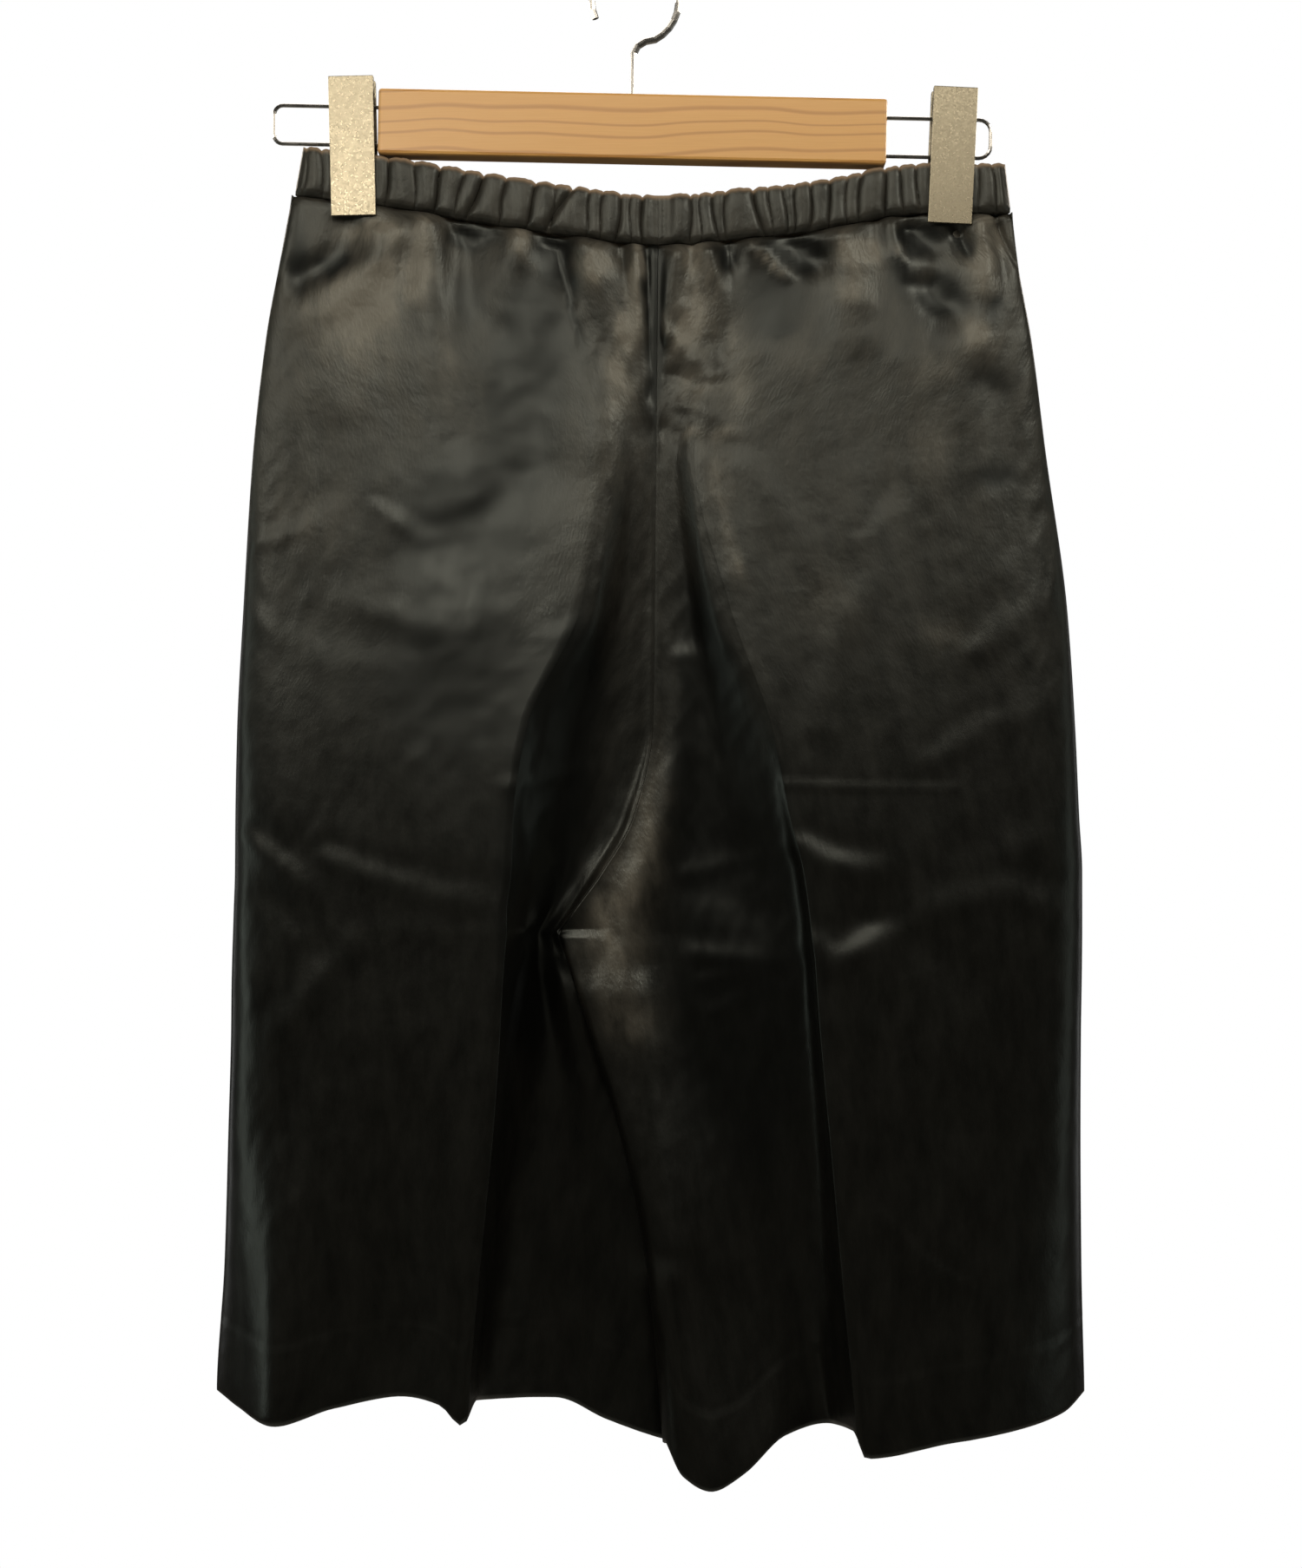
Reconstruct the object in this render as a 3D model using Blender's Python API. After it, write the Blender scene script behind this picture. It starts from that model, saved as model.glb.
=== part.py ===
"""Black satin knee-length shorts with an elasticated waist, hanging from a clip hanger.

Metres, +Z up. The origin is the inner crown of the hanger's hook, where a rail carries it.
The front faces -Y. Left and right are as seen from the front: left is -X.

The tables give each point as it is seen in the hanging plane: "across" to the right of the
garment's middle and "down" below the crown, both in millimetres, with "forward" as its real
distance in front of that plane. A point that stands forward looks larger to the eye, so
stand() draws it in to its real place.
"""

import math
from collections import namedtuple

import bpy
from mathutils import Vector

MM = 0.001

# The eye that the tables were read from
EYE_DISTANCE = 1100.0
EYE_DOWN = 379.0
MIDDLE_X = 7.2  # the garment's middle hangs this far right of the hook's crown

# Cloth
WALL = 1.2  # satin with its seam allowances
BAND_WALL = 2.2  # the casing's two layers and the elastic between them
SEAM_GAP = 0.3
CURVE_GAP = 0.45  # each panel's share of the gap where the centre seam bends
BAND_HEIGHT = 22.4
CENTRE_SEAM = 3.2  # across, where the front and back seams leave the waist
CROTCH_DOWN = 447.6
CROTCH_ACROSS = 1.1  # the four panels' corners stand this far from the crotch point
CROTCH_FORWARD = 1.8
CURVE_START = 340.0  # down, where the centre seams begin to bend to the crotch
BAND_FOR_REST = 3.3  # half the depth of the flat waist
BAND_BOW = 4.8  # how much further it opens between the clips
BACK_SHARE = 0.92  # a back crease stands this share of the front one's depth
WALL_RUN = 5.2  # from a pressed crease to the foot of its turned-back side

# Columns and rows of a panel's net; the rows under the waist and at the hem have twice as many
OUTER_COLUMNS = 9
INNER_COLUMNS = 6
CREASE_U = OUTER_COLUMNS / (OUTER_COLUMNS + INNER_COLUMNS)
STRIP_LEVELS = (112.0, 116.0, 122.0, 130.0, 141.0, 156.0)
LEG_LEVELS = (
    175.0, 200.0, 228.0, 256.0, 284.0, 312.0, 338.0, 360.0, 382.0, 404.0, 427.0,
    CROTCH_DOWN, 460.0, 476.0, 502.0, 535.0, 565.0, 595.0,
)
HEM_LEVELS = (628.0, 646.0, 658.0)
TOP_LEVEL = STRIP_LEVELS[0]
TOP_SETTLES = 200.0  # the waist's sag has faded by here
HEM_STARTS = 540.0  # the hem's wave begins here
HEM_LEVEL = HEM_LEVELS[-1]
STEP_U = 0.004  # how far either side of a point its slope is taken, and the same in rows
STEP_LEVEL = 1.0

# The waist's top edge: it sags between the clips
Edge = namedtuple("Edge", "across down")
WAIST_EDGE = (
    Edge(-160.0, 85.5),
    Edge(-121.0, 90.5),
    Edge(-80.0, 97.5),
    Edge(-40.0, 103.5),
    Edge(4.0, 108.0),
    Edge(44.0, 105.0),
    Edge(80.0, 101.0),
    Edge(110.0, 95.0),
    Edge(129.0, 93.4),
    Edge(163.0, 93.4),
)
BAND_SIDE_TOP = {"left": -159.8, "right": 162.8}
BAND_SIDE_FOOT = {"left": -163.8, "right": 165.4}

# Each leg's sections. side: the outline. crease: the pressed crease, with its depth.
# dip: the sunk line inside it. bulge: where the cloth comes forward again.
# inner: the centre seam, and below the crotch the inseam; back_inner: the same at the back.
Section = namedtuple(
    "Section",
    "down side crease crease_for dip dip_for bulge bulge_for inner inner_for back_inner_for",
)
LEFT_LEG = (
    Section(112, -165, -44, 6.0, -24, 6.5, -10, 7.5, 3.2, 8.0, -8.0),
    Section(138, -170, -42, 7.0, -22, 7.0, -9, 7.0, 3.0, 7.5, -8.0),
    Section(174, -177, -35, 9.5, -18, 8.0, -7, 7.0, 2.8, 7.0, -8.5),
    Section(226, -183, -21, 14.5, -9, 9.0, -3, 7.0, 2.4, 6.5, -9.0),
    Section(298, -187.5, -33, 22.0, -14, 7.0, -5, 5.0, 1.6, 5.5, -10.0),
    Section(354, -190.4, -58, 27.5, -24, 5.0, -6, 4.0, 0.8, 6.0, -9.0),
    Section(394, -191.2, -64, 30.5, -32, 3.5, -15, 3.5, -8, 8.0, -6.0),
    Section(420, -191.4, -65, 32.5, -40, 2.5, -28, 3.5, -22.8, 8.5, -2.0),
    Section(438, -192.0, -67, 33.5, -48, 2.5, -39, 4.0, -36.0, 8.0, 3.0),
    Section(447.6, -192.3, -67, 34.5, -53, 2.5, -46.0, 4.6, -42.8, 6.0, 6.0),
    Section(460, -192.7, -68, 35.3, -53, 0.0, -43, 0.5, -36.8, -1.0, -1.0),
    Section(474, -193.0, -69, 36.5, -51, -1.5, -39, 2.0, -31.4, -1.5, -1.5),
    Section(494, -193.2, -70, 38.0, -48, -1.0, -35, 3.0, -26.4, -2.0, -2.0),
    Section(538, -194.4, -73, 41.0, -44, 0.5, -19, 4.0, -9.0, -3.0, -3.0),
    Section(598, -196.2, -79, 45.5, -40, 3.0, -3, 5.0, 7.0, -5.0, -5.0),
    Section(658, -199.8, -85, 48.5, -40, 4.0, 4, 8.0, 15.0, -6.0, -6.0),
    Section(682, -200.0, -87, 49.5, -40, 4.0, 6, 9.0, 17.0, -6.0, -6.0),
)
RIGHT_LEG = (
    Section(112, 166, 47, 6.0, 26, 6.5, 14, 7.5, 3.2, 8.0, -8.0),
    Section(138, 169, 45, 7.0, 25, 7.0, 13, 7.0, 3.0, 7.5, -8.0),
    Section(174, 175, 38, 9.5, 22, 8.0, 12, 7.0, 2.8, 7.0, -8.5),
    Section(226, 181.5, 20, 14.0, 12, 9.5, 7, 7.5, 2.4, 6.5, -9.0),
    Section(298, 191.4, 37, 22.0, 18, 8.0, 8, 6.0, 1.6, 5.5, -10.0),
    Section(354, 195.2, 56.5, 27.5, 24, 7.0, 9, 5.5, 0.8, 6.0, -9.0),
    Section(394, 197.0, 64.5, 30.5, 28, 7.5, 6, 7.0, -8, 8.0, -6.0),
    Section(420, 198.4, 71, 32.5, 30, 8.5, -2, 8.0, -22.8, 8.5, -2.0),
    Section(438, 198.4, 73.5, 33.5, 30, 9.5, -10, 8.5, -36.0, 8.0, 3.0),
    Section(447.6, 198.4, 74.5, 34.5, 28, 10.0, -14, 9.5, -42.8, 6.0, 6.0),
    Section(460, 198.3, 76, 35.5, 26, 11.0, -17, 12.5, -38.6, 8.0, 8.0),
    Section(474, 198.1, 77, 36.5, 27, 11.5, -15, 13.5, -34.4, 9.5, 9.5),
    Section(494, 197.8, 78.5, 38.0, 28, 12.5, -13, 15.5, -28.0, 11.0, 11.0),
    Section(538, 197.6, 82.5, 41.0, 38, 15.0, -3, 21.0, -14.8, 15.0, 15.0),
    Section(598, 198.0, 88.5, 46.0, 56, 18.5, 12, 31.0, -0.8, 21.0, 21.0),
    Section(658, 199.4, 95.5, 51.0, 74, 22.0, 26, 44.0, 5.6, 28.0, 28.0),
    Section(702, 200.0, 99.5, 54.0, 80, 23.0, 29, 48.0, 8.0, 30.0, 30.0),
)
LEGS = {"left": LEFT_LEG, "right": RIGHT_LEG}
OUTWARD = {"left": -1.0, "right": 1.0}
FACING = {"front": 1.0, "back": -1.0}

# The hem's lower edge as seen, from each side seam to the inseam
HEM_EDGE = {
    "left": (
        Edge(-200.0, 657.6),
        Edge(-190.0, 664.5),
        Edge(-172.0, 671.6),
        Edge(-146.0, 666.0),
        Edge(-116.0, 662.4),
        Edge(-98.0, 665.5),
        Edge(-87.0, 674.4),
        Edge(-80.0, 662.4),
        Edge(-44.0, 660.8),
        Edge(-20.0, 671.2),
        Edge(8.0, 680.4),
        Edge(17.0, 682.0),
    ),
    "right": (
        Edge(200.0, 657.6),
        Edge(190.0, 668.0),
        Edge(172.0, 674.4),
        Edge(141.0, 680.4),
        Edge(99.5, 689.2),
        Edge(93.0, 676.5),
        Edge(80.0, 672.8),
        Edge(62.0, 678.5),
        Edge(43.0, 696.5),
        Edge(28.0, 704.4),
        Edge(15.0, 698.0),
        Edge(7.0, 682.0),
    ),
}

# The largest soft folds: ridges stand out of the face, troughs (under 0) sink into it.
# Each runs from its first place to its last and changes width and depth on the way.
Fold = namedtuple("Fold", "across1 down1 wide1 deep1 across2 down2 wide2 deep2")
FRONT_FOLDS = (
    Fold(-143, 110, 6, -2.7, -140, 150, 9, -0.5),
    Fold(-128, 114, 6, 3.0, -120, 178, 11, 0.3),
    Fold(-104, 118, 7, 3.2, -101, 190, 10, 0.2),
    Fold(-90, 122, 6, -3.2, -86, 158, 9, -0.2),
    Fold(-62, 125, 7, 3.0, -70, 170, 12, 0.2),
    Fold(-45, 128, 6, -3.5, -41, 168, 9, -0.2),
    Fold(-24, 130, 6, 3.2, -20, 176, 8, 0.3),
    Fold(-9, 131, 5, -2.2, -7, 160, 7, 0.0),
    Fold(14, 130, 6, -2.7, 15, 156, 7, 0.0),
    Fold(25, 130, 6, 3.0, 26, 182, 8, 0.2),
    Fold(44, 128, 7, -2.4, 50, 165, 10, 0.0),
    Fold(60, 126, 7, -3.5, 64, 150, 9, 0.0),
    Fold(82, 123, 7, 3.2, 86, 178, 10, 0.2),
    Fold(104, 118, 7, 2.7, 100, 180, 10, 0.2),
    Fold(132, 116, 7, -3.5, 138, 158, 9, -0.3),
    Fold(156, 112, 4, -3.0, 163, 142, 4, -0.6),
    Fold(-172, 540, 14, 0.0, -172, 668, 17, 12.0),
    Fold(-116, 520, 16, 0.0, -116, 664, 22, -7.0),
    Fold(150, 540, 22, 0.0, 150, 676, 26, 5.0),
    Fold(-189, 402, 7, 1.2, -80, 436, 8, 2.0),
    Fold(74, 432, 7, 2.0, 185, 402, 9, 1.6),
)
BACK_FOLDS = (
    Fold(-136, 112, 7, 3.0, -130, 165, 11, 0.3),
    Fold(-112, 116, 7, -3.0, -108, 160, 9, -0.2),
    Fold(-84, 121, 7, 3.2, -84, 186, 11, 0.2),
    Fold(-60, 125, 7, -3.2, -64, 162, 9, -0.2),
    Fold(-36, 128, 7, 3.0, -32, 180, 10, 0.2),
    Fold(-14, 130, 6, -2.7, -12, 164, 8, 0.0),
    Fold(20, 130, 6, 2.7, 21, 172, 8, 0.2),
    Fold(40, 128, 7, -3.0, 44, 166, 10, 0.0),
    Fold(62, 126, 7, 3.0, 66, 184, 10, 0.2),
    Fold(86, 122, 7, -3.2, 88, 158, 9, 0.0),
    Fold(112, 118, 7, 3.2, 116, 176, 11, 0.2),
    Fold(140, 115, 7, -3.0, 142, 156, 9, 0.0),
    Fold(-165, 540, 18, 0.0, -165, 668, 22, 8.0),
    Fold(-118, 540, 18, 0.0, -118, 668, 22, -6.0),
    Fold(160, 540, 18, 0.0, 160, 668, 22, 8.0),
    Fold(126, 540, 18, 0.0, 126, 668, 20, -5.0),
)
FOLDS = {"front": FRONT_FOLDS, "back": BACK_FOLDS}

# The waistband's gathers: this many stand across each half of a face
GATHERS = 15
GATHERS_START = 0.03  # share of the half band, from the side seam
GATHER_DEPTH = 1.15
GATHER_LEAN = 2.6
GATHER_SEED = {"left": 0.7, "right": 2.1}
BAND_RISES = (0.0, 0.5, 1.0)
# The band's rounded side end: share of the half band, and of the turn from the side to the face
BAND_END = ((0.0, 0.0), (0.004, 0.35), (0.014, 0.75))

# Hanger: a flat wooden bar with a wire loop at each end, along which the clips slide
TILT = math.radians(1.2)  # its right end hangs lower
BAR = Vector((233.4, 13.0, 30.0))
BAR_CENTRE = (-1.3, 0.0, -77.4)  # from the crown, X Y Z
RAIL_RADIUS = 0.9
RAIL_UP = 7.6
RAIL_DOWN = 10.0
RAIL_REACH = 166.0  # from the bar's middle to a loop's end
RAIL_IN_BAR = 12.0
LOOP_CORNER = {"left": 4.0, "right": 5.5}
BORE_GAP = 0.3
HOOK_RADIUS = 20.0
HOOK_WIRE = 1.6
HOOK_IN_BAR = 16.0
HOOK_OPEN = math.radians(205.0)  # how far the hook's round reaches past the stem's side

Clip = namedtuple("Clip", "side across down width height lean")
CLIPS = (
    Clip("left", -137.0, 86.5, 20.6, 64.2, math.radians(-1.3)),
    Clip("right", 138.4, 90.8, 20.2, 62.8, math.radians(2.7)),
)
JAW_INSIDE = 5.3  # from the hanging plane to a plate's inner face
PLATE = 1.1
FLANGE = 2.6  # the plate's folded sides reach this far back
FLANGE_WALL = 0.8
FLANGE_HEIGHT = 31.0
SADDLE = Vector((13.0, 9.9, 21.2))


def smooth(low, high, value):
    """0 below low, 1 above high, and an even ease between."""
    t = min(max((value - low) / (high - low), 0.0), 1.0)
    return t * t * (3.0 - 2.0 * t)


def mix(a, b, t):
    return a + (b - a) * t


def through(before, start, end, after, t):
    """A point on the curve that runs from start to end and heads as its neighbours do."""
    head = (end - before) * 0.5
    tail = (after - start) * 0.5
    t2 = t * t
    t3 = t2 * t
    return (
        start * (2 * t3 - 3 * t2 + 1)
        + head * (t3 - 2 * t2 + t)
        + end * (3 * t2 - 2 * t3)
        + tail * (t3 - t2)
    )


def read(rows, key, column, at):
    """A table's column at a place between its rows, by a curve that never overshoots."""
    keys = [getattr(row, key) for row in rows]
    values = [getattr(row, column) for row in rows]
    if keys[0] > keys[-1]:
        keys.reverse()
        values.reverse()
    if at <= keys[0]:
        return values[0]
    if at >= keys[-1]:
        return values[-1]
    i = max(k for k in range(len(keys) - 1) if keys[k] <= at)
    steps = [keys[k + 1] - keys[k] for k in range(len(keys) - 1)]
    slopes = [(values[k + 1] - values[k]) / steps[k] for k in range(len(steps))]

    def slope_at(k):
        if k == 0:
            return slopes[0]
        if k == len(slopes):
            return slopes[-1]
        if slopes[k - 1] * slopes[k] <= 0:
            return 0.0
        return 2 * slopes[k - 1] * slopes[k] / (slopes[k - 1] + slopes[k])

    t = (at - keys[i]) / steps[i]
    t2 = t * t
    t3 = t2 * t
    return (
        values[i] * (2 * t3 - 3 * t2 + 1)
        + slope_at(i) * steps[i] * (t3 - 2 * t2 + t)
        + values[i + 1] * (3 * t2 - 2 * t3)
        + slope_at(i + 1) * steps[i] * (t3 - t2)
    )


def leg_read(side, column, down):
    """A leg's section value; the tables break at the crotch, where the inner edge turns."""
    rows = LEGS[side]
    crotch = next(k for k, row in enumerate(rows) if row.down == CROTCH_DOWN)
    part = rows[: crotch + 1] if down <= CROTCH_DOWN else rows[crotch:]
    return read(part, "down", column, down)


def stand(across, down, forward, depth=None):
    """The real place of a point seen at across and down; depth is another point's forward."""
    shrink = 1.0 - forward / EYE_DISTANCE
    x = MIDDLE_X + across * shrink
    z = -(EYE_DOWN + (down - EYE_DOWN) * shrink)
    return Vector((x, -(forward if depth is None else depth), z)) * MM


def band_forward(across, side):
    """How far the waist stands forward: flat at the clips, bowed between them, round at the side."""
    clip = CLIPS[0].across if across < 0 else CLIPS[1].across
    bow = BAND_BOW * math.cos(math.pi / 2 * min(abs(across / clip), 1.0)) ** 2
    to_side = min(abs(side - across) / (1.5 * BAND_FOR_REST), 1.0)
    return (BAND_FOR_REST + bow) * math.sqrt(max(1.0 - (1.0 - to_side) ** 2, 0.0))


def pinched(forward, across, down, wall):
    """A depth held to what the clips' jaws leave; the cloth opens again away from them."""
    for clip in CLIPS:
        middle = clip.across - (down - clip.down) * math.tan(clip.lean)
        beside = max(abs(across - middle) - clip.width / 2 - 1.0, 0.0)
        below = max(down - clip.down - clip.height / 2 - 1.0, 0.0)
        room = JAW_INSIDE - 0.4 - wall / 2 + 0.6 * math.hypot(beside, below)
        forward = max(-room, min(forward, room))
    return forward


def fold_forward(folds, across, down):
    """What the soft folds add at a point."""
    total = 0.0
    for fold in folds:
        run = Vector((fold.across2 - fold.across1, fold.down2 - fold.down1))
        offset = Vector((across - fold.across1, down - fold.down1))
        t = offset.dot(run) / run.length_squared
        along = min(max(t, 0.0), 1.0)
        apart = (offset - run * along).length
        past = max(-t, t - 1.0, 0.0) * run.length
        wide = mix(fold.wide1, fold.wide2, along)
        deep = mix(fold.deep1, fold.deep2, along)
        total += deep * math.exp(-((apart / wide) ** 2)) * (1.0 - smooth(0.0, 30.0, past) * 0.3)
    return total


def section_points(side, down, face):
    """The across and forward of the section's own points, from the crease to the inner edge."""
    crease = leg_read(side, "crease", down)
    crease_for = leg_read(side, "crease_for", down)
    dip = leg_read(side, "dip", down)
    dip_for = leg_read(side, "dip_for", down)
    bulge = leg_read(side, "bulge", down)
    bulge_for = leg_read(side, "bulge_for", down)
    inner = leg_read(side, "inner", down)
    inner_for = leg_read(side, "inner_for", down)
    if face == "back":
        crease_for = -BACK_SHARE * crease_for
        dip_for = -mix(8.0, 14.0, smooth(CROTCH_DOWN, HEM_LEVEL, down))
        inner_for = leg_read(side, "back_inner_for", down)
        bulge_for = mix(dip_for, inner_for - 8.0, smooth(CURVE_START, CROTCH_DOWN, down) * 0.5)
    share = mix(0.25, 0.78, smooth(300.0, 640.0, down))
    fade = smooth(240.0, 330.0, down)
    foot = crease - OUTWARD[side] * mix(abs(crease - dip) / 3.0, WALL_RUN, fade)
    foot_for = crease_for - share * (crease_for - dip_for)
    return [
        Vector((crease, crease_for)),
        Vector((foot, foot_for)),
        Vector((dip, dip_for)),
        Vector((bulge, bulge_for)),
        Vector((inner, inner_for)),
    ]


def section(side, down, face, u):
    """The (across, forward) of a leg's section at u, which runs from side seam to inner edge."""
    points = section_points(side, down, face)
    crease = points[0]
    seam = leg_read(side, "side", down)
    facing = FACING[face]
    if u <= CREASE_U:
        t = (u / CREASE_U) ** 1.25
        round_to = Vector((seam, facing * (5.0 + 0.42 * abs(crease.y))))
        lead = Vector((mix(seam, crease.x, 0.5), crease.y * 0.78 + facing * 2.0))
        s = 1.0 - t
        return (
            Vector((seam, 0.0)) * s**3
            + round_to * (3 * s * s * t)
            + lead * (3 * s * t * t)
            + crease * t**3
        )
    spans = len(points) - 1
    place = (u - CREASE_U) / (1.0 - CREASE_U) * spans
    i = min(int(place), spans - 1)
    before = points[i - 1] if i else points[0] * 2 - points[1]
    if i + 2 <= spans:
        after = points[i + 2]
    elif down <= CROTCH_DOWN:
        after = points[-1] * 2 - points[-2]
    else:
        after = Vector((points[-2].x, points[-1].y - facing * 24.0))
    return through(before, points[i], points[i + 1], after, place - i)


def seen_down(side, level, across):
    """Where a row of the net is seen: it follows the waist above and the hem below."""
    seam = read(WAIST_EDGE, "across", "down", across) + BAND_HEIGHT + SEAM_GAP
    hem = read(HEM_EDGE[side], "across", "down", across)
    top = (seam - TOP_LEVEL) * (1.0 - smooth(TOP_LEVEL, TOP_SETTLES, level))
    foot = (hem - HEM_LEVEL) * smooth(HEM_STARTS, HEM_LEVEL, level)
    return level + top + foot


def surface(side, face, u, level):
    """The real place of a panel's middle surface."""
    across = section(side, level, "front", u).x
    down = seen_down(side, level, across)
    point = section(side, down, "front", u)
    seam = leg_read(side, "side", down)
    sewn = 1.0 - smooth(TOP_LEVEL, TOP_LEVEL + 70.0, level)
    free = smooth(0.0, 0.07, u) * smooth(0.0, 0.06, 1.0 - u)
    free *= mix(0.35, 1.0, smooth(TOP_LEVEL, TOP_LEVEL + 9.0, level))

    def unfolded(which):
        own = section(side, down, which, u).y
        return mix(own, FACING[which] * band_forward(point.x, seam), sewn)

    folded = unfolded(face) + FACING[face] * free * fold_forward(FOLDS[face], point.x, down)
    return stand(point.x, down, unfolded("front"), pinched(folded, point.x, down, WALL))


def seam_direction(side, face, u, level):
    """Which way the wall's outer face looks at a seam, shared by the two panels that meet there."""
    if u == 0.0:
        return Vector((OUTWARD[side], 0.0, 0.0))
    if level > CROTCH_DOWN:
        return Vector((-OUTWARD[side], 0.0, 0.0))
    turn = smooth(CURVE_START, CROTCH_DOWN, level)
    return Vector((-OUTWARD[side] * 0.8 * turn, -FACING[face], 0.0)).normalized()


def net_point(side, face, u, level):
    """A panel's point and the outward direction of its wall."""
    spot = surface(side, face, u, level)
    if 0.0 < u < 1.0:
        low = surface(side, face, u - STEP_U, level)
        high = surface(side, face, u + STEP_U, level)
        above = surface(side, face, u, max(level - STEP_LEVEL, TOP_LEVEL))
        below = surface(side, face, u, min(level + STEP_LEVEL, HEM_LEVEL))
        out = (high - low).cross(below - above).normalized()
        return spot, out * FACING[face] * OUTWARD[side]
    out = seam_direction(side, face, u, level)
    gap = SEAM_GAP / 2
    if u == 1.0 and level <= CROTCH_DOWN:
        open_up = mix(gap, CURVE_GAP, smooth(CURVE_START, CROTCH_DOWN - 20.0, level))
        if level == CROTCH_DOWN:
            corner = Vector((OUTWARD[side] * CROTCH_ACROSS, -FACING[face] * CROTCH_FORWARD, 0.0))
            return spot + corner * MM, out
        return spot + Vector((OUTWARD[side], 0.0, 0.0)) * open_up * MM, out
    return spot + Vector((0.0, -FACING[face], 0.0)) * gap * MM, out


def strip_faces(lower, upper, flip):
    """Triangles between two rows of point numbers, equal in count or one twice as fine."""
    faces = []
    step_low = (len(lower) - 1) // min(len(lower) - 1, len(upper) - 1)
    step_up = (len(upper) - 1) // min(len(lower) - 1, len(upper) - 1)
    for k in range(min(len(lower), len(upper)) - 1):
        a = lower[k * step_low : (k + 1) * step_low + 1]
        b = upper[k * step_up : (k + 1) * step_up + 1]
        if len(a) == len(b):
            faces += [(a[0], a[1], b[1]), (a[0], b[1], b[0])]
        elif len(b) > len(a):
            faces += [(a[0], b[1], b[0]), (a[0], a[1], b[1]), (a[1], b[2], b[1])]
        else:
            faces += [(b[0], a[0], a[1]), (b[0], a[1], b[1]), (b[1], a[1], a[2])]
    return [face[::-1] for face in faces] if flip else faces


def wall_mesh(name, rows, thickness):
    """A closed wall around rows of (point, outward direction), listed from top to foot."""
    points = []
    outer = []
    inner = []
    for row in rows:
        for numbers, way in ((outer, 0.5), (inner, -0.5)):
            numbers.append(list(range(len(points), len(points) + len(row))))
            points += [spot + out * (thickness * way * MM) for spot, out in row]
    first, second = rows[0][:2]
    turn = (second[0] - first[0]).cross(rows[1][0][0] - first[0]).dot(rows[1][1][1])
    flip = turn > 0
    faces = []
    for k in range(len(rows) - 1):
        faces += strip_faces(outer[k + 1], outer[k], flip)
        faces += strip_faces(inner[k + 1], inner[k], not flip)
        faces += strip_faces([outer[k + 1][0], inner[k + 1][0]], [outer[k][0], inner[k][0]], not flip)
        faces += strip_faces([outer[k + 1][-1], inner[k + 1][-1]], [outer[k][-1], inner[k][-1]], flip)
    faces += strip_faces(inner[0], outer[0], not flip)
    faces += strip_faces(inner[-1], outer[-1], flip)
    mesh = bpy.data.meshes.new(name)
    mesh.from_pydata([tuple(p) for p in points], [], faces)
    mesh.validate()
    mesh.update()
    return mesh


def material(name, colour, roughness, metallic=0.0):
    made = bpy.data.materials.new(name)
    made.use_nodes = True
    shader = made.node_tree.nodes["Principled BSDF"]
    shader.inputs["Base Color"].default_value = (*colour, 1.0)
    shader.inputs["Roughness"].default_value = roughness
    shader.inputs["Metallic"].default_value = metallic
    return made


def add_object(name, mesh, finish, parent=None):
    thing = bpy.data.objects.new(name, mesh)
    bpy.context.scene.collection.objects.link(thing)
    thing.data.materials.clear()
    thing.data.materials.append(finish)
    thing.parent = parent
    return thing


def make_panel(side, face, finish):
    """One of the four cut panels: it runs from the waist seam to the hem."""
    rows = []
    columns = OUTER_COLUMNS + INNER_COLUMNS
    for level in STRIP_LEVELS + LEG_LEVELS + HEM_LEVELS:
        count = columns if level in LEG_LEVELS else columns * 2
        rows.append([net_point(side, face, k / count, level) for k in range(count + 1)])
    name = f"{face}_{side}"
    return add_object(name, wall_mesh(name, rows, WALL), finish)


def gather_places(side):
    """The share of the half band at each gather's trough, unevenly spaced."""
    seed = GATHER_SEED[side]
    steps = [1.0 + 0.38 * math.sin(2.4 * k + seed) for k in range(GATHERS)]
    total = sum(steps)
    places = [0.0]
    for step in steps:
        places.append(places[-1] + step / total)
    return places


def gather_columns(side):
    """A half band's (share, wave, lean) past its rounded end: four columns to a gather."""
    seed = GATHER_SEED[side]
    places = gather_places(side)
    columns = []
    for k in range(1, 4 * GATHERS + 1):
        gather, quarter = divmod(k, 4)
        low = places[min(gather, GATHERS - 1)]
        share = 1.0 if gather == GATHERS else mix(low, places[gather + 1], quarter / 4)
        tall = 0.75 + 0.25 * math.sin(1.7 * gather + seed)
        wave = -tall * math.cos(math.pi / 2 * quarter)
        lean = GATHER_LEAN * math.sin(0.9 * gather + seed) * math.sin(math.pi * share) ** 0.5
        columns.append((mix(GATHERS_START, 1.0, share), wave, 0.0 if share == 1.0 else lean))
    return columns


def band_spot(side, face, rise, share, wave, lean):
    """The real place of the casing's middle surface; rise is 0 at its top edge and 1 at its foot."""
    edge = mix(BAND_SIDE_TOP[side], BAND_SIDE_FOOT[side], rise)
    across = mix(edge, CENTRE_SEAM, share) + lean * (0.5 - rise)
    near_clip = min(abs(across - clip.across) for clip in CLIPS)
    held = mix(0.25, 1.0, smooth(9.0, 18.0, near_clip))
    puff = 0.5 * math.sin(math.pi * rise) - 0.3 * rise
    forward = band_forward(across, edge)
    gathered = wave * GATHER_DEPTH * mix(1.0, 0.6, rise) + puff
    rest = forward + held * gathered * min(forward / BAND_FOR_REST, 1.0)
    down = read(WAIST_EDGE, "across", "down", across) + BAND_HEIGHT * rise
    rest = pinched(rest, across, down, BAND_WALL)
    ruffle = 0.5 * wave * (1.0 - rise) * held
    return stand(across, down - ruffle, forward, FACING[face] * rest)


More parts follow.
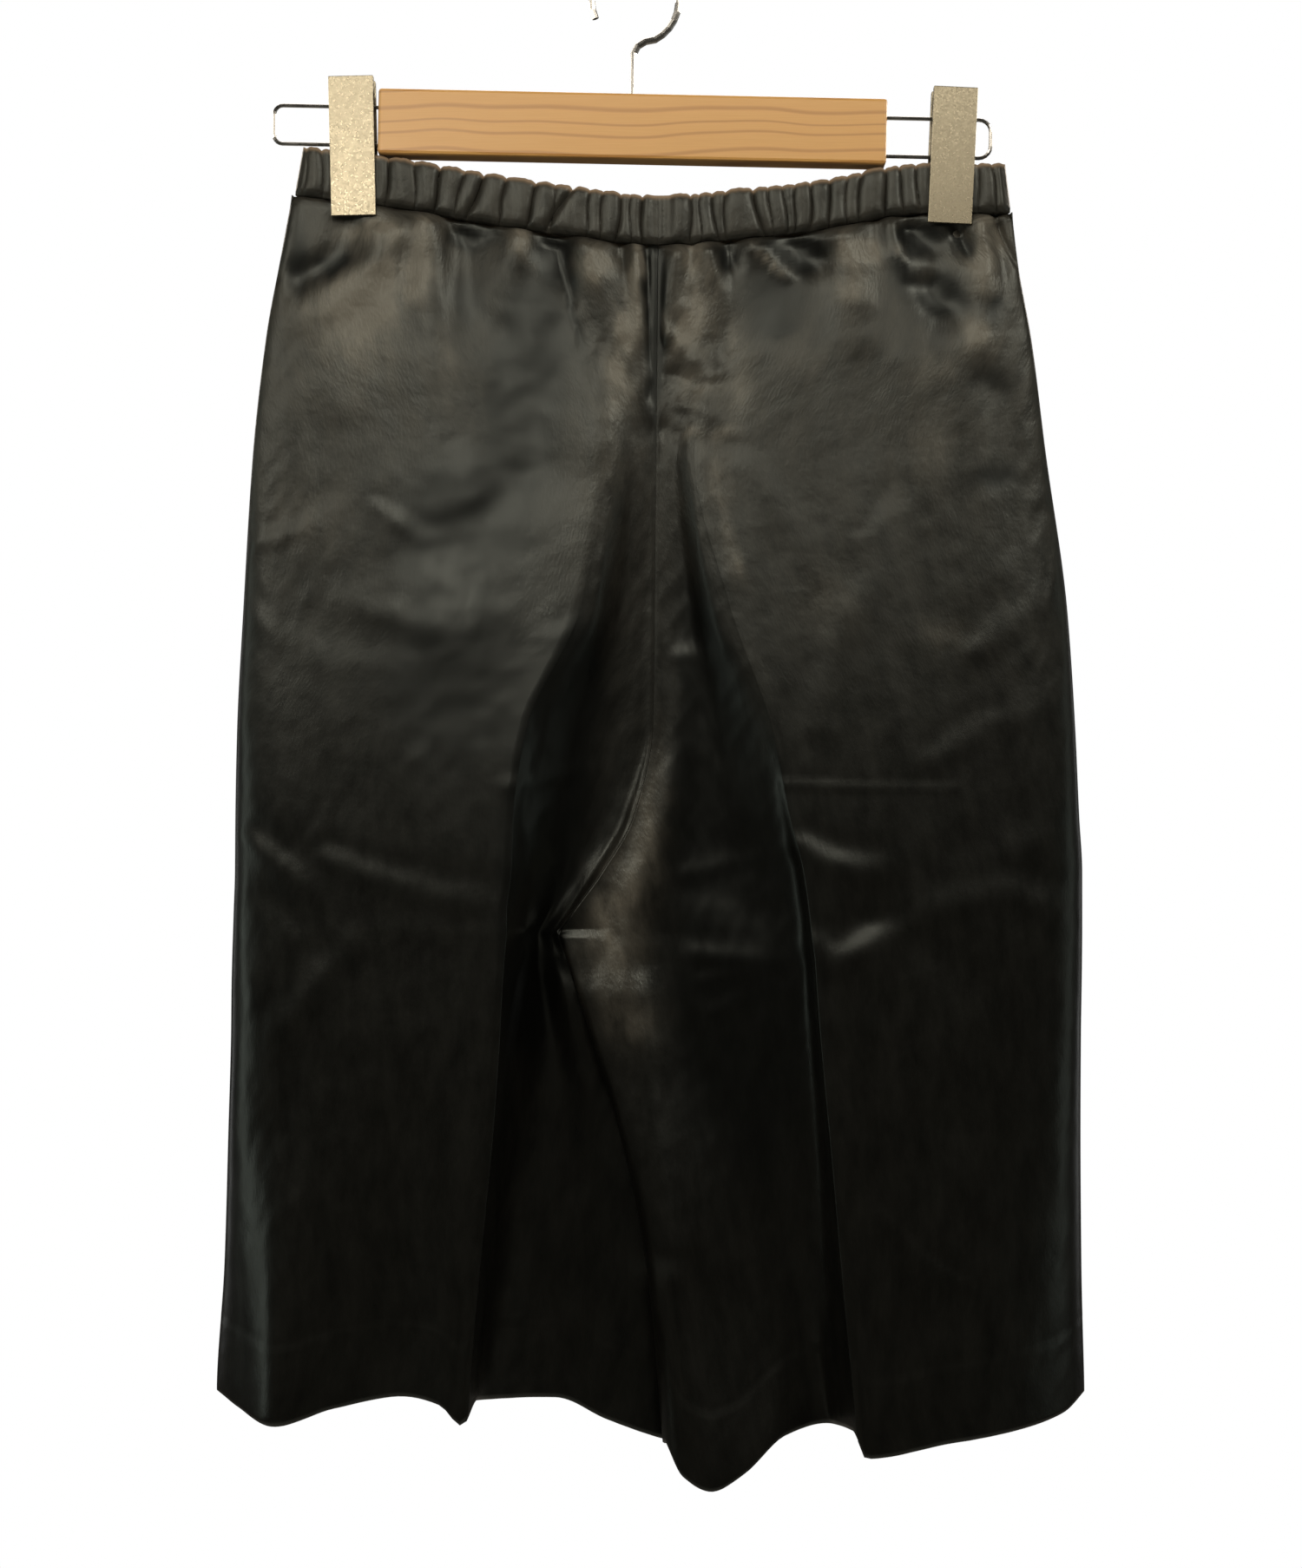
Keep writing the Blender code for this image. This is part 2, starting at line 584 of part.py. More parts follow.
def make_band(side, face, finish):
    """A quarter of the gathered casing, from the side seam to the centre seam."""
    columns = gather_columns(side)
    half_gap = SEAM_GAP / 2 * MM
    rows = []
    for rise in BAND_RISES:
        row = []
        for share, turned in BAND_END:
            turn = math.pi / 2 * turned
            away = Vector((OUTWARD[side] * math.cos(turn), -FACING[face] * math.sin(turn), 0.0))
            row.append((band_spot(side, face, rise, share, 0.0, 0.0), away))
        row[0][0].y = -FACING[face] * half_gap
        for share, wave, lean in columns:
            away = Vector((0.0, -FACING[face], 0.0))
            row.append((band_spot(side, face, rise, share, wave, lean), away))
        row[-1][0].x += OUTWARD[side] * half_gap
        rows.append(row)
    name = f"waistband_{face}_{side}"
    return add_object(name, wall_mesh(name, rows, BAND_WALL), finish)


def make_box(name, size, finish, parent, bevel):
    """A box of the given size in millimetres about its own centre, with softened edges."""
    bpy.ops.mesh.primitive_cube_add(size=1.0)
    thing = bpy.context.active_object
    thing.name = name
    thing.data.transform(
        ((size.x * MM, 0, 0, 0), (0, size.y * MM, 0, 0), (0, 0, size.z * MM, 0), (0, 0, 0, 1))
    )
    thing.parent = parent
    if finish:
        thing.data.materials.append(finish)
    if bevel:
        edges = thing.modifiers.new("edges", "BEVEL")
        edges.width = bevel * MM
        edges.segments = 2
    return thing


def make_wire(name, points, radius, finish, parent):
    """A round wire through points in millimetres."""
    curve = bpy.data.curves.new(name, "CURVE")
    curve.dimensions = "3D"
    curve.bevel_depth = radius * MM
    curve.bevel_resolution = 2
    curve.use_fill_caps = True
    line = curve.splines.new("POLY")
    line.points.add(len(points) - 1)
    for spot, place in zip(line.points, points):
        spot.co = (place[0] * MM, place[1] * MM, place[2] * MM, 1.0)
    return add_object(name, curve, finish, parent)


def arc(centre, radius, start, end, count):
    """Points on a round in the X-Z plane; angles run from +X towards +Z."""
    turns = [mix(start, end, k / count) for k in range(count + 1)]
    return [
        (centre[0] + radius * math.cos(t), 0.0, centre[1] + radius * math.sin(t)) for t in turns
    ]


def bore(thing, name, radius, length, place, turn, parent):
    """Cuts a round hole with a hidden cylinder."""
    bpy.ops.mesh.primitive_cylinder_add(vertices=12, radius=radius * MM, depth=length * MM)
    cutter = bpy.context.active_object
    cutter.name = name
    cutter.parent = parent
    cutter.location = Vector(place) * MM
    cutter.rotation_euler = (0.0, turn, 0.0)
    cutter.hide_render = True
    cutter.display_type = "WIRE"
    cut = thing.modifiers.new(name, "BOOLEAN")
    cut.operation = "DIFFERENCE"
    cut.solver = "EXACT"
    cut.object = cutter


def make_hanger():
    wood = material("beech_bar", (0.62, 0.40, 0.20), 0.45)
    chrome = material("chromed_wire", (0.62, 0.60, 0.58), 0.18, 1.0)
    frame = bpy.data.objects.new("hanger_frame", None)
    bpy.context.scene.collection.objects.link(frame)
    frame.location = Vector(BAR_CENTRE) * MM
    frame.rotation_euler = (0.0, TILT, 0.0)

    bar = make_box("hanger_bar", BAR, wood, frame, 1.4)
    rails = {"up": RAIL_UP, "down": -RAIL_DOWN}
    half = BAR.x / 2
    for side, way in OUTWARD.items():
        for which, height in rails.items():
            name = f"cut_rail_{side}_{which}"
            place = (way * half, 0.0, height)
            bore(bar, name, RAIL_RADIUS + BORE_GAP, 2 * (RAIL_IN_BAR + 1.0), place, math.pi / 2, frame)
    top = BAR.z / 2
    bore(bar, "cut_hook", HOOK_WIRE + BORE_GAP, 2 * (HOOK_IN_BAR + BORE_GAP), (0.0, 0.0, top), 0.0, frame)

    for side, way in OUTWARD.items():
        corner = LOOP_CORNER[side]
        end = RAIL_REACH - RAIL_RADIUS
        start = half - RAIL_IN_BAR
        upper = arc((end - corner, RAIL_UP - corner), corner, math.pi / 2, 0.0, 5)
        lower = arc((end - corner, corner - RAIL_DOWN), corner, 0.0, -math.pi / 2, 5)
        route = [(start, 0.0, RAIL_UP), *upper, *lower, (start, 0.0, -RAIL_DOWN)]
        route = [(way * x, y, z) for x, y, z in route]
        make_wire(f"rail_loop_{side}", route, RAIL_RADIUS, chrome, frame)

    centre = (0.0, top + 62.4 + HOOK_WIRE - HOOK_RADIUS)
    stem_top = centre[1] - HOOK_RADIUS - 4.0
    bend = [(0.0, 0.0, stem_top), (1.6, 0.0, stem_top + 3.2), (5.0, 0.0, stem_top + 5.4)]
    crown = arc(centre, HOOK_RADIUS, math.radians(-62), HOOK_OPEN, 22)
    make_wire("hook", [(0.0, 0.0, top - HOOK_IN_BAR), *bend, *crown], HOOK_WIRE, chrome, frame)
    return frame


def cut_box(thing, name, size, place, parent):
    """Cuts a square-edged space with a hidden box."""
    cutter = make_box(name, size, None, parent, 0.0)
    cutter.location = Vector(place) * MM
    cutter.hide_render = True
    cutter.display_type = "WIRE"
    cut = thing.modifiers.new(name, "BOOLEAN")
    cut.operation = "DIFFERENCE"
    cut.solver = "EXACT"
    cut.object = cutter


def make_clip(clip, hanger):
    """Two nickel plates that pinch the waist, on a saddle that slides along the wire loop."""
    nickel = material(f"satin_nickel_{clip.side}", (0.56, 0.54, 0.48), 0.38, 1.0)
    frame = bpy.data.objects.new(f"clip_frame_{clip.side}", None)
    bpy.context.scene.collection.objects.link(frame)
    frame.location = Vector((MIDDLE_X + clip.across, 0.0, -clip.down)) * MM
    frame.rotation_euler = (0.0, clip.lean, 0.0)
    deep = PLATE + FLANGE
    for face, facing in FACING.items():
        plate = make_box(
            f"clip_{face}_{clip.side}", Vector((clip.width, deep, clip.height)), nickel, frame, 0.35
        )
        middle = JAW_INSIDE - FLANGE + deep / 2
        plate.location.y = -facing * middle * MM
        behind = -facing * (JAW_INSIDE - deep / 2)
        channel = Vector((clip.width - 2 * FLANGE_WALL, deep, clip.height + 2.0))
        cut_box(plate, f"channel_{face}_{clip.side}", channel, (0.0, behind, 0.0), frame)
        jaw = Vector((clip.width + 2.0, deep, clip.height))
        cut_box(plate, f"jaw_{face}_{clip.side}", jaw, (0.0, behind, -FLANGE_HEIGHT), frame)
    saddle = make_box(f"clip_saddle_{clip.side}", SADDLE, nickel, frame, 0.6)
    saddle.location.z = (hanger_down(clip) - clip.down) * -MM
    for which, height in (("up", RAIL_UP), ("down", -RAIL_DOWN)):
        name = f"cut_saddle_{clip.side}_{which}"
        along = clip.across + MIDDLE_X - BAR_CENTRE[0]
        place = (along, 0.0, height)
        bore(saddle, name, RAIL_RADIUS + BORE_GAP, 2 * SADDLE.x, place, math.pi / 2, hanger)


def hanger_down(clip):
    """How far below the crown the middle of the rails is at a clip."""
    along = clip.across + MIDDLE_X - BAR_CENTRE[0]
    return -BAR_CENTRE[2] + along * math.sin(TILT) + (RAIL_DOWN - RAIL_UP) / 2


def clear_scene():
    for thing in list(bpy.data.objects):
        bpy.data.objects.remove(thing, do_unlink=True)


def main():
    clear_scene()
    satin = material("black_satin", (0.018, 0.017, 0.015), 0.42)
    for side in LEGS:
        for face in FACING:
            make_panel(side, face, satin)
            make_band(side, face, satin)
    hanger = make_hanger()
    for clip in CLIPS:
        make_clip(clip, hanger)


main()
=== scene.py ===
"""Black satin shorts on a clip hanger: the finished look over the CAD frame.

Metres, +Z up, the hook's crown at the origin, the front facing -Y. The tables hold millimetres in
the hanging plane as the eye sees them: "across" to the right of the garment's middle, "down" below
the crown, and "forward" as the real distance in front of the plane.
"""

import math
from collections import namedtuple

import bpy
import numpy as np
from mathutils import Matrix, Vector


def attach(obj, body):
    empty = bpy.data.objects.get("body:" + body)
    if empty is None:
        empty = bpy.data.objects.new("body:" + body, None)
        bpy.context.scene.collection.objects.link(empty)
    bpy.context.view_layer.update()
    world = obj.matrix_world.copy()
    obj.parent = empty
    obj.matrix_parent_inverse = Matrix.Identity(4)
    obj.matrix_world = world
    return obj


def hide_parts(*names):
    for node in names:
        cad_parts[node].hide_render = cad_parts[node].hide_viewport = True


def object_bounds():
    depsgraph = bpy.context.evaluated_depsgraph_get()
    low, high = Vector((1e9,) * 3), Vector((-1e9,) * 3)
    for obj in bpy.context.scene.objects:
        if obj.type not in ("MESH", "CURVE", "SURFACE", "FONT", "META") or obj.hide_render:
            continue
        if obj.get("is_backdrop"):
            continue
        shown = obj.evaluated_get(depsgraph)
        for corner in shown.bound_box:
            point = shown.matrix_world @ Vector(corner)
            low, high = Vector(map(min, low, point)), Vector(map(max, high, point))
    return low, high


bl_info = {
    "name": "Satin shorts on a clip hanger",
    "version": (1, 0, 0),
    "blender": (4, 5, 0),
    "location": "3D View > Sidebar > Shorts",
    "description": "Sews and finishes black satin shorts over their packed CAD frame",
    "category": "Add Mesh",
}

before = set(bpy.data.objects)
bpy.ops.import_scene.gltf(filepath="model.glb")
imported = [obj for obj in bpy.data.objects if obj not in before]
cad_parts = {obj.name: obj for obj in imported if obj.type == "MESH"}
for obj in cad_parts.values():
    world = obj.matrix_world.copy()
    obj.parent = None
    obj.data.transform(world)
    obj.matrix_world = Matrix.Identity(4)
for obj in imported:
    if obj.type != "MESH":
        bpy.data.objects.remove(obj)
CAD_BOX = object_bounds()
MM = 0.001

# The eye that the tables were read from, and where the garment's middle hangs
EYE_DISTANCE = 1100.0
EYE_DOWN = 379.0
MIDDLE_X = 7.2
VIEW_HEIGHT = 722.4  # of the photograph in the hanging plane
SENSOR = 36.0

OUTWARD = {"left": -1.0, "right": 1.0}
FACING = {"front": 1.0, "back": -1.0}

# Where the panels' rows start, take up the hem's waves and end
TOP_LEVEL = 112.0
TOP_SETTLES = 200.0
HEM_STARTS = 540.0
HEM_LEVEL = 658.0

# The pressed creases, and how the cloth falls back from them to the inner thigh
CREASE_U = 0.6  # the crease's place between side seam and inner edge
SIDE_EASE = 1.25
SIDE_ROUND = 5.0  # how far a panel's side stands forward,
SIDE_ROUND_SHARE = 0.42  # with a share of its crease
LEAD_FORWARD = 2.0
LEAD_SHARE = 0.78
WALL_RUN = 9.0  # from a crease to the foot of its turned-back side
WALL_STARTS = (240.0, 330.0)
WALL_SHARE = (0.25, 0.78)  # of the crease's height, at the top and low down
WALL_GROWS = (300.0, 640.0)

# The crotch and the back, which follows the front's outline
CENTRE_SEAM = 3.2
CURVE_START = 340.0  # where the centre seams leave the middle for the crotch
CROTCH_DOWN = 447.6
INSEAM_TURN = 24.0  # how far back the legs turn at the inseam
BACK_CREASE = 0.92  # of the front crease's height
BACK_DIP = (8.0, 14.0)  # the sunk inner thigh, at the crotch and at the hem
BACK_BULGE = 8.0

# The waistband and its seam
SEAM_GAP = 0.3
BAND_HEIGHT = 22.4
BAND_FOR_REST = 3.3
BAND_BOW = 4.8  # how far the waist bows out between the clips
BAND_ROUND = 1.5 * BAND_FOR_REST  # how far in from its side the waist is round
WAIST_TUCK = 1.7
WAIST_TUCK_WIDTH = 2.3
SEWN_RUN = 70.0  # below the seam the waist's form fades out

# What the clips' jaws leave for the cloth
JAW_INSIDE = 5.3
JAW_CLEAR = 0.4
JAW_MARGIN = 1.0
JAW_OPENS = 0.6  # for each millimetre away from the jaws
PINCHED_WALL = 1.2

# How the seams hold the folds flat, as shares of a panel's width and in millimetres
HELD_SIDE = 0.07
HELD_INNER = 0.045
HELD_AT_WAIST = 0.45
HELD_RUN = 6.0
CRUMPLE_STARTS = 40.0
SEAM_DIP = 0.35
SIDE_DIP = 1.6 / 130.0
INNER_DIP = 1.4 / 90.0
PRESSED_RANGE = (280.0, 420.0)  # from here down the crease is pressed sharp
PRESSED_SHARE = 0.05
PRESSED_LEFT = 0.55  # of the wrinkles, on the crease itself

# The turned-up hem and the pressed line where it ends
HEM_TURN = 36.0
HEM_APART = 1.1
HEM_ROUND = 0.4
HEM_STEP = 0.3
HEM_STEP_RUN = 3.0
HEM_LINE = 0.12
HEM_LINE_WIDTH = 1.6
HEM_SHOWS = (500.0, 560.0)

# Net of a panel: columns from side seam to crease and on to the inner edge, and rows
PANEL_NET = {"front": (64, 82, 300), "back": (44, 52, 210)}
BAND_NET = {"front": (460, 26), "back": (300, 18)}

SEEDS = {
    ("left", "front"): 11,
    ("right", "front"): 47,
    ("left", "back"): 211,
    ("right", "back"): 247,
}


def table(kind, rows):
    """Plain rows as named ones."""
    return tuple(kind(*row) for row in rows)


Edge = namedtuple("Edge", "across down")
WAIST_EDGE = table(Edge, (
    (-160, 85.5), (-121, 90.5), (-80, 97.5), (-40, 103.5), (4, 108), (44, 105), (80, 101),
    (110, 95), (129, 93.4), (163, 93.4),
))
HEM_EDGE = {
    "left": table(Edge, (
        (-200, 657.6), (-190, 664.5), (-172, 671.6), (-146, 666), (-116, 662.4), (-98, 665.5),
        (-87, 674.4), (-80, 662.4), (-44, 660.8), (-20, 671.2), (8, 680.4), (17, 682),
    )),
    "right": table(Edge, (
        (200, 657.6), (190, 668), (172, 674.4), (141, 680.4), (99.5, 689.2), (93, 676.5),
        (80, 672.8), (62, 678.5), (43, 696.5), (28, 704.4), (15, 698), (7, 682),
    )),
}

# A leg's sections: where its side seam, crease, sunk inner thigh, bulge and inner edge stand, and
# how far forward; the back's inner edge stands at a depth of its own
Section = namedtuple(
    "Section",
    "down side crease crease_for dip dip_for bulge bulge_for inner inner_for back_inner_for",
)
LEFT_LEG = table(Section, (
    (112, -165, -44, 6, -24, 6.5, -10, 7.5, 3.2, 8, -8),
    (138, -170, -42, 7, -22, 7, -9, 7, 3, 7.5, -8),
    (174, -177, -35, 9.5, -18, 8, -7, 7, 2.8, 7, -8.5),
    (226, -183, -21, 14.5, -9, 9, -3, 7, 2.4, 6.5, -9),
    (298, -187.5, -33, 22, -14, 7, -5, 5, 1.6, 5.5, -10),
    (354, -190.4, -58, 27.5, -24, 5, -6, 4, 0.8, 6, -9),
    (394, -191.2, -64, 30.5, -32, 3.5, -15, 3.5, -8, 8, -6),
    (420, -191.4, -65, 32.5, -40, 2.5, -28, 3.5, -22.8, 8.5, -2),
    (438, -192, -67, 33.5, -48, 2.5, -39, 4, -36, 8, 3),
    (447.6, -192.3, -67, 34.5, -53, 2.5, -46, 4.6, -42.8, 6, 6),
    (460, -192.7, -68, 35.3, -53, 0, -43, 0.5, -36.8, -1, -1),
    (474, -193, -69, 36.5, -51, -1.5, -39, 2, -31.4, -1.5, -1.5),
    (494, -193.2, -70, 38, -48, -1, -35, 3, -26.4, -2, -2),
    (538, -194.4, -73, 41, -44, 0.5, -19, 4, -9, -3, -3),
    (598, -196.2, -79, 45.5, -40, 3, -3, 5, 7, -5, -5),
    (658, -199.8, -85, 48.5, -40, 4, 4, 8, 15, -6, -6),
    (682, -200, -87, 49.5, -40, 4, 6, 9, 17, -6, -6),
))
RIGHT_LEG = table(Section, (
    (112, 166, 47, 6, 26, 6.5, 14, 7.5, 3.2, 8, -8),
    (138, 169, 45, 7, 25, 7, 13, 7, 3, 7.5, -8),
    (174, 175, 38, 9.5, 22, 8, 12, 7, 2.8, 7, -8.5),
    (226, 181.5, 20, 14, 12, 9.5, 7, 7.5, 2.4, 6.5, -9),
    (298, 191.4, 37, 22, 18, 8, 8, 6, 1.6, 5.5, -10),
    (354, 195.2, 56.5, 27.5, 24, 7, 9, 5.5, 0.8, 6, -9),
    (394, 197, 64.5, 30.5, 28, 7.5, 6, 7, -8, 8, -6),
    (420, 198.4, 71, 32.5, 30, 8.5, -2, 8, -22.8, 8.5, -2),
    (438, 198.4, 73.5, 33.5, 30, 9.5, -10, 8.5, -36, 8, 3),
    (447.6, 198.4, 74.5, 34.5, 28, 10, -14, 9.5, -42.8, 6, 6),
    (460, 198.3, 76, 35.5, 26, 11, -17, 12.5, -38.6, 8, 8),
    (474, 198.1, 77, 36.5, 27, 11.5, -15, 13.5, -34.4, 9.5, 9.5),
    (494, 197.8, 78.5, 38, 28, 12.5, -13, 15.5, -28, 11, 11),
    (538, 197.6, 82.5, 41, 38, 15, -3, 21, -14.8, 15, 15),
    (598, 198, 88.5, 46, 56, 18.5, 12, 31, -0.8, 21, 21),
    (658, 199.4, 95.5, 51, 74, 22, 26, 44, 5.6, 28, 28),
    (702, 200, 99.5, 54, 80, 23, 29, 48, 8, 30, 30),
))
LEGS = {"left": LEFT_LEG, "right": RIGHT_LEG}

# A fold follows its path of (across, down) points. Its width and depth run from first to last;
# depth is above 0 for a ridge and below 0 for a trough. lean adds a sink on the fold's right side.
Fold = namedtuple("Fold", "path wide1 wide2 deep1 deep2 lean")
LEAN_OFFSET = 1.6  # in widths
LEAN_REACH = 5.0


def fold(path, wide, deep, lean=0):
    """A fold with one or two widths and depths."""
    wide = wide if isinstance(wide, tuple) else (wide, wide)
    deep = deep if isinstance(deep, tuple) else (deep, deep)
    return Fold(path, *wide, *deep, lean)


# Gathers that run out of the waist seam on the front
FRONT_GATHERS = table(fold, (
    (((-162, 146), (-152, 141), (-143, 133), (-140, 122)), 7, -1.6),
    (((-158, 162), (-140, 149), (-125, 139), (-117, 126)), (11, 7), (1, 2.4)),
    (((-128, 116), (-126, 140), (-122, 178)), (5, 10), (2.4, 0.3)),
    (((-104, 117), (-103, 145), (-98, 200)), (6, 15), (3.8, 0.4)),
    (((-98, 120), (-97, 170)), (2.2, 3), (0.9, 0.3)),
    (((-90, 120), (-86, 132), (-85, 172)), (6, 13), (-3.8, -0.6)),
    (((-76, 122), (-75, 134)), 4, (-2.4, -0.5)),
    (((-60, 124), (-62, 136), (-70, 156)), (4, 9), (3.2, 0.5)),
    (((-45, 127), (-41, 140), (-36, 156)), (8, 4), (-4.6, -1)),
    (((-31, 128), (-27, 146), (-24, 176)), (6, 11), (3.8, 0.4)),
    (((-14, 130), (-12, 144)), 4, (-3.4, -0.6)),
    (((-8, 130), (-5, 160), (-3, 208)), (3, 6), (2.6, 0.6)),
    (((-1.5, 131), (-0.5, 200)), (2.2, 3), (-1.8, -0.4)),
    (((12, 131), (10, 152), (9, 182)), (4, 7), (2.8, 0.4)),
    (((18.5, 131), (18, 144)), 3, (-2, -0.4)),
    (((26, 131), (29, 146), (33, 168)), (4.5, 8), (3.4, 0.4)),
    (((36, 130), (37, 144)), 5, (-3.6, -0.6)),
    (((47, 129), (48, 137)), 4, (2, 0.6)),
    (((52, 133), (57, 139), (63, 146)), 2.6, (1.6, 0.6)),
    (((66, 128), (72, 135), (78, 138)), (7, 8), (-3.6, -2.6)),
    (((86, 124), (91, 142), (97, 168)), (7, 12), (3.8, 0.5)),
    (((104, 119), (103, 134)), 4, (-2.4, -0.4)),
    (((110, 120), (113, 134), (118, 144)), 3.5, (2.6, 0.6)),
    (((120, 122), (130, 131)), 7, (-3.6, -2.2)),
    (((129, 150), (143, 164)), 8, (-2.6, -1.6)),
    (((143, 125), (149, 137)), 4.5, (-3.4, -1.2)),
    (((150, 122), (153, 146), (158, 170)), (5, 10), (3, 0.6)),
    (((149, 168), (150, 178)), 8, (1.4, 0.6)),
    (((160, 114), (163, 142)), 4, (-2.6, -0.6)),
))
# The wearing creases and crumples lower down on the front
FRONT_WRINKLES = table(fold, (
    (((-10, 150), (-14, 190), (-25, 222)), (9, 14), (1.2, 1.6)),
    (((-70, 176), (-62, 205), (-52, 232)), (12, 16), (-1.4, -2.2)),
    (((-112, 196), (-116, 240), (-118, 300)), (20, 26), (1.2, 0.4)),
    (((-150, 220), (-152, 300)), (16, 22), (-1, -0.6)),
    (((8, 172), (16, 182), (28, 190)), (3.5, 4.5), (1.5, 0.8)),
    (((10, 190), (22, 196), (34, 194)), 3.2, (-1.3, -0.8)),
    (((14, 204), (24, 206), (38, 218)), 3.4, (1.3, 0.7)),
    (((6, 216), (20, 222)), 4, (-1.2, -0.6)),
    (((16, 160), (22, 172), (20, 184)), 4, (1.2, 0.8)),
    (((30, 176), (38, 196), (36, 220)), 5, (-1.2, -0.8)),
    (((60, 170), (70, 210), (90, 260)), (10, 18), (1.2, 0.5)),
    (((120, 190), (128, 240), (132, 300)), (14, 24), (1.2, 0.4)),
    (((98, 186), (104, 240)), (8, 14), (-1.2, -0.6)),
    (((160, 200), (170, 260)), (9, 14), (-1, -0.5)),
    (((44, 232), (66, 262), (92, 300)), (6, 9), (0.9, 0.4)),
    (((-60, 240), (-86, 262), (-130, 280)), (7, 10), (-0.9, -0.4)),
    (((-140, 296), (-104, 306), (-70, 300)), (7, 8.4), (0.7, 0.3)),
    (((-190, 403), (-178, 412), (-162, 425)), (5.7, 6.84), (0.84, 0.63), 0.8),
    (((-150, 413), (-132, 421), (-108, 429), (-68, 438)), (4.94, 7.6), (0.53, 0.37), 0.8),
    (((-176, 430), (-158, 446), (-150, 462)), 7.6, (-0.84, -0.42)),
    (((-168, 489), (-150, 466), (-138, 452)), 6.84, (0.84, 0.42), 0.5),
    (((-186, 470), (-176, 486), (-172, 510)), 9.5, (0.84, 0.32)),
    (((-188, 300), (-150, 322), (-112, 328)), (5.6, 8.4), (0.4, 0.2), 0.4),
    (((-128, 250), (-104, 268), (-84, 262)), (3, 5), (0.6, 0.2), 0.4),
    (((-182, 268), (-160, 262), (-128, 240)), (4, 6), (0.6, 0.2), 0.4),
    (((96, 262), (104, 250), (112, 236)), (2.4, 3), (-0.8, -0.3)),
    (((76, 352), (82, 320), (96, 292), (104, 284)), (5.6, 8.4), (0.8, 0.3), 0.4),
    (((150, 318), (166, 304), (182, 294)), (5.6, 7), (0.8, 0.3), 0.5),
    (((130, 368), (160, 352), (190, 340)), (5.6, 8.4), (0.6, 0.2), 0.4),
    (((62, 379), (90, 380.5), (140, 381)), 2.28, (0.37, 0.16), 0.4),
    (((68, 407), (80, 415), (100, 420)), (4.94, 6.46), (1.37, 0.63), 0.8),
    (((74, 453), (84, 463), (104, 452), (132, 438), (164, 430), (194, 441)),
     (6.08, 8.74), (1.26, 0.63), 0.9),
    (((108, 437), (156, 418), (180, 402)), (6.46, 9.5), (0.84, 0.42), 0.6),
    (((15, 322), (14, 360), (6, 396), (-8, 428), (-12, 462), (-4, 510), (8, 590)), (7, 15), (2, 5)),
    (((100, 440), (120, 446), (150, 470)), 11.4, (-1.26, -0.63)),
    (((106, 577), (124, 597), (142, 609)), (2.08, 2.6), (0.73, 0.53), 0.5),
    (((158, 113), (163.5, 129), (168, 139)), (1.6, 1.2), (-3.4, -1.6)),
    (((16, 421), (32, 417), (48, 413)), 4.56, (0.63, 0.32)),
    (((20, 457), (40, 460), (60, 461)), 4.56, (0.53, 0.32)),
    (((28, 485), (36, 482), (44, 477)), 4.56, (0.53, 0.32)),
    (((24, 470), (44, 466), (62, 474)), 3.8, (0.42, 0.21)),
    (((-66, 380), (-46, 376), (-28, 372)), 4.56, (0.73, 0.32)),
    (((-60, 432), (-46, 436)), 5.7, (0.84, 0.42)),
    (((-6, 424), (10, 436), (30, 440)), 9.5, (0.95, 0.53)),
    (((-26, 462), (-6, 462)), 12, -2.2),
    (((-24, 474), (0, 470), (20, 478)), 11.4, (0.95, 0.42)),
    (((-172, 540), (-172, 668)), (14, 17), (0, 12)),
    (((-116, 520), (-116, 664)), (16, 22), (0, -7)),
    (((150, 540), (150, 676)), (22, 26), (0, 5)),
))
# The back's plainer gathers: where each starts and how deep it is
BACK_GATHERS = tuple(
    fold(((x, y), (x + 2, y + 18), (x + 5, y + 56)), (6, 11), (deep, 0.3 * deep / abs(deep)))
    for x, y, deep in (
        (-150, 110, -2.8), (-136, 113, 3.2), (-118, 116, -3), (-101, 118, 3), (-84, 121, -3.4),
        (-67, 124, 3.2), (-52, 127, -3), (-35, 128, 3.4), (-20, 130, -2.8), (-9, 131, 2.2),
        (14, 131, -2.4), (25, 131, 3), (40, 130, -3.2), (55, 128, 3.2), (70, 126, -3),
        (86, 123, 3.2), (103, 120, -3.2), (120, 117, 3.4), (137, 115, -2.8), (152, 114, 2.6),
    )
)
BACK_WRINKLES = table(fold, (
    (((-120, 200), (-118, 300)), (18, 24), (1.3, 0.4)),
    (((-60, 190), (-50, 240)), (12, 16), (-1.4, -0.8)),
    (((118, 200), (124, 300)), (18, 24), (1.3, 0.4)),
    (((60, 190), (56, 240)), (12, 16), (-1.4, -0.8)),
    (((-186, 410), (-150, 424), (-110, 430), (-72, 440)), (8, 11), (0.8, 0.5), 0.6),
    (((-170, 480), (-148, 462), (-130, 452)), 9, (0.7, 0.4), 0.4),
    (((76, 446), (110, 452), (150, 434), (190, 440)), (9, 12), (0.9, 0.5), 0.6),
    (((110, 420), (150, 408), (182, 398)), 10, (0.7, 0.4), 0.4),
    (((104, 560), (130, 588), (150, 604)), 5, (0.7, 0.4), 0.3),
    (((-150, 560), (-120, 590)), 6, (0.6, 0.3), 0.3),
    (((-165, 540), (-165, 668)), (18, 22), (0, 8)),
    (((-118, 540), (-118, 668)), (18, 22), (0, -6)),
    (((160, 540), (160, 668)), (18, 22), (0, 8)),
    (((126, 540), (126, 668)), (18, 20), (0, -5)),
))
GATHERS = {"front": FRONT_GATHERS, "back": BACK_GATHERS}
WRINKLES = {"front": FRONT_WRINKLES, "back": BACK_WRINKLES}
GATHER_GAIN = 1.7
CRUMPLE_FADES = (150.0, 400.0)  # the fine crumple grows fainter between these levels

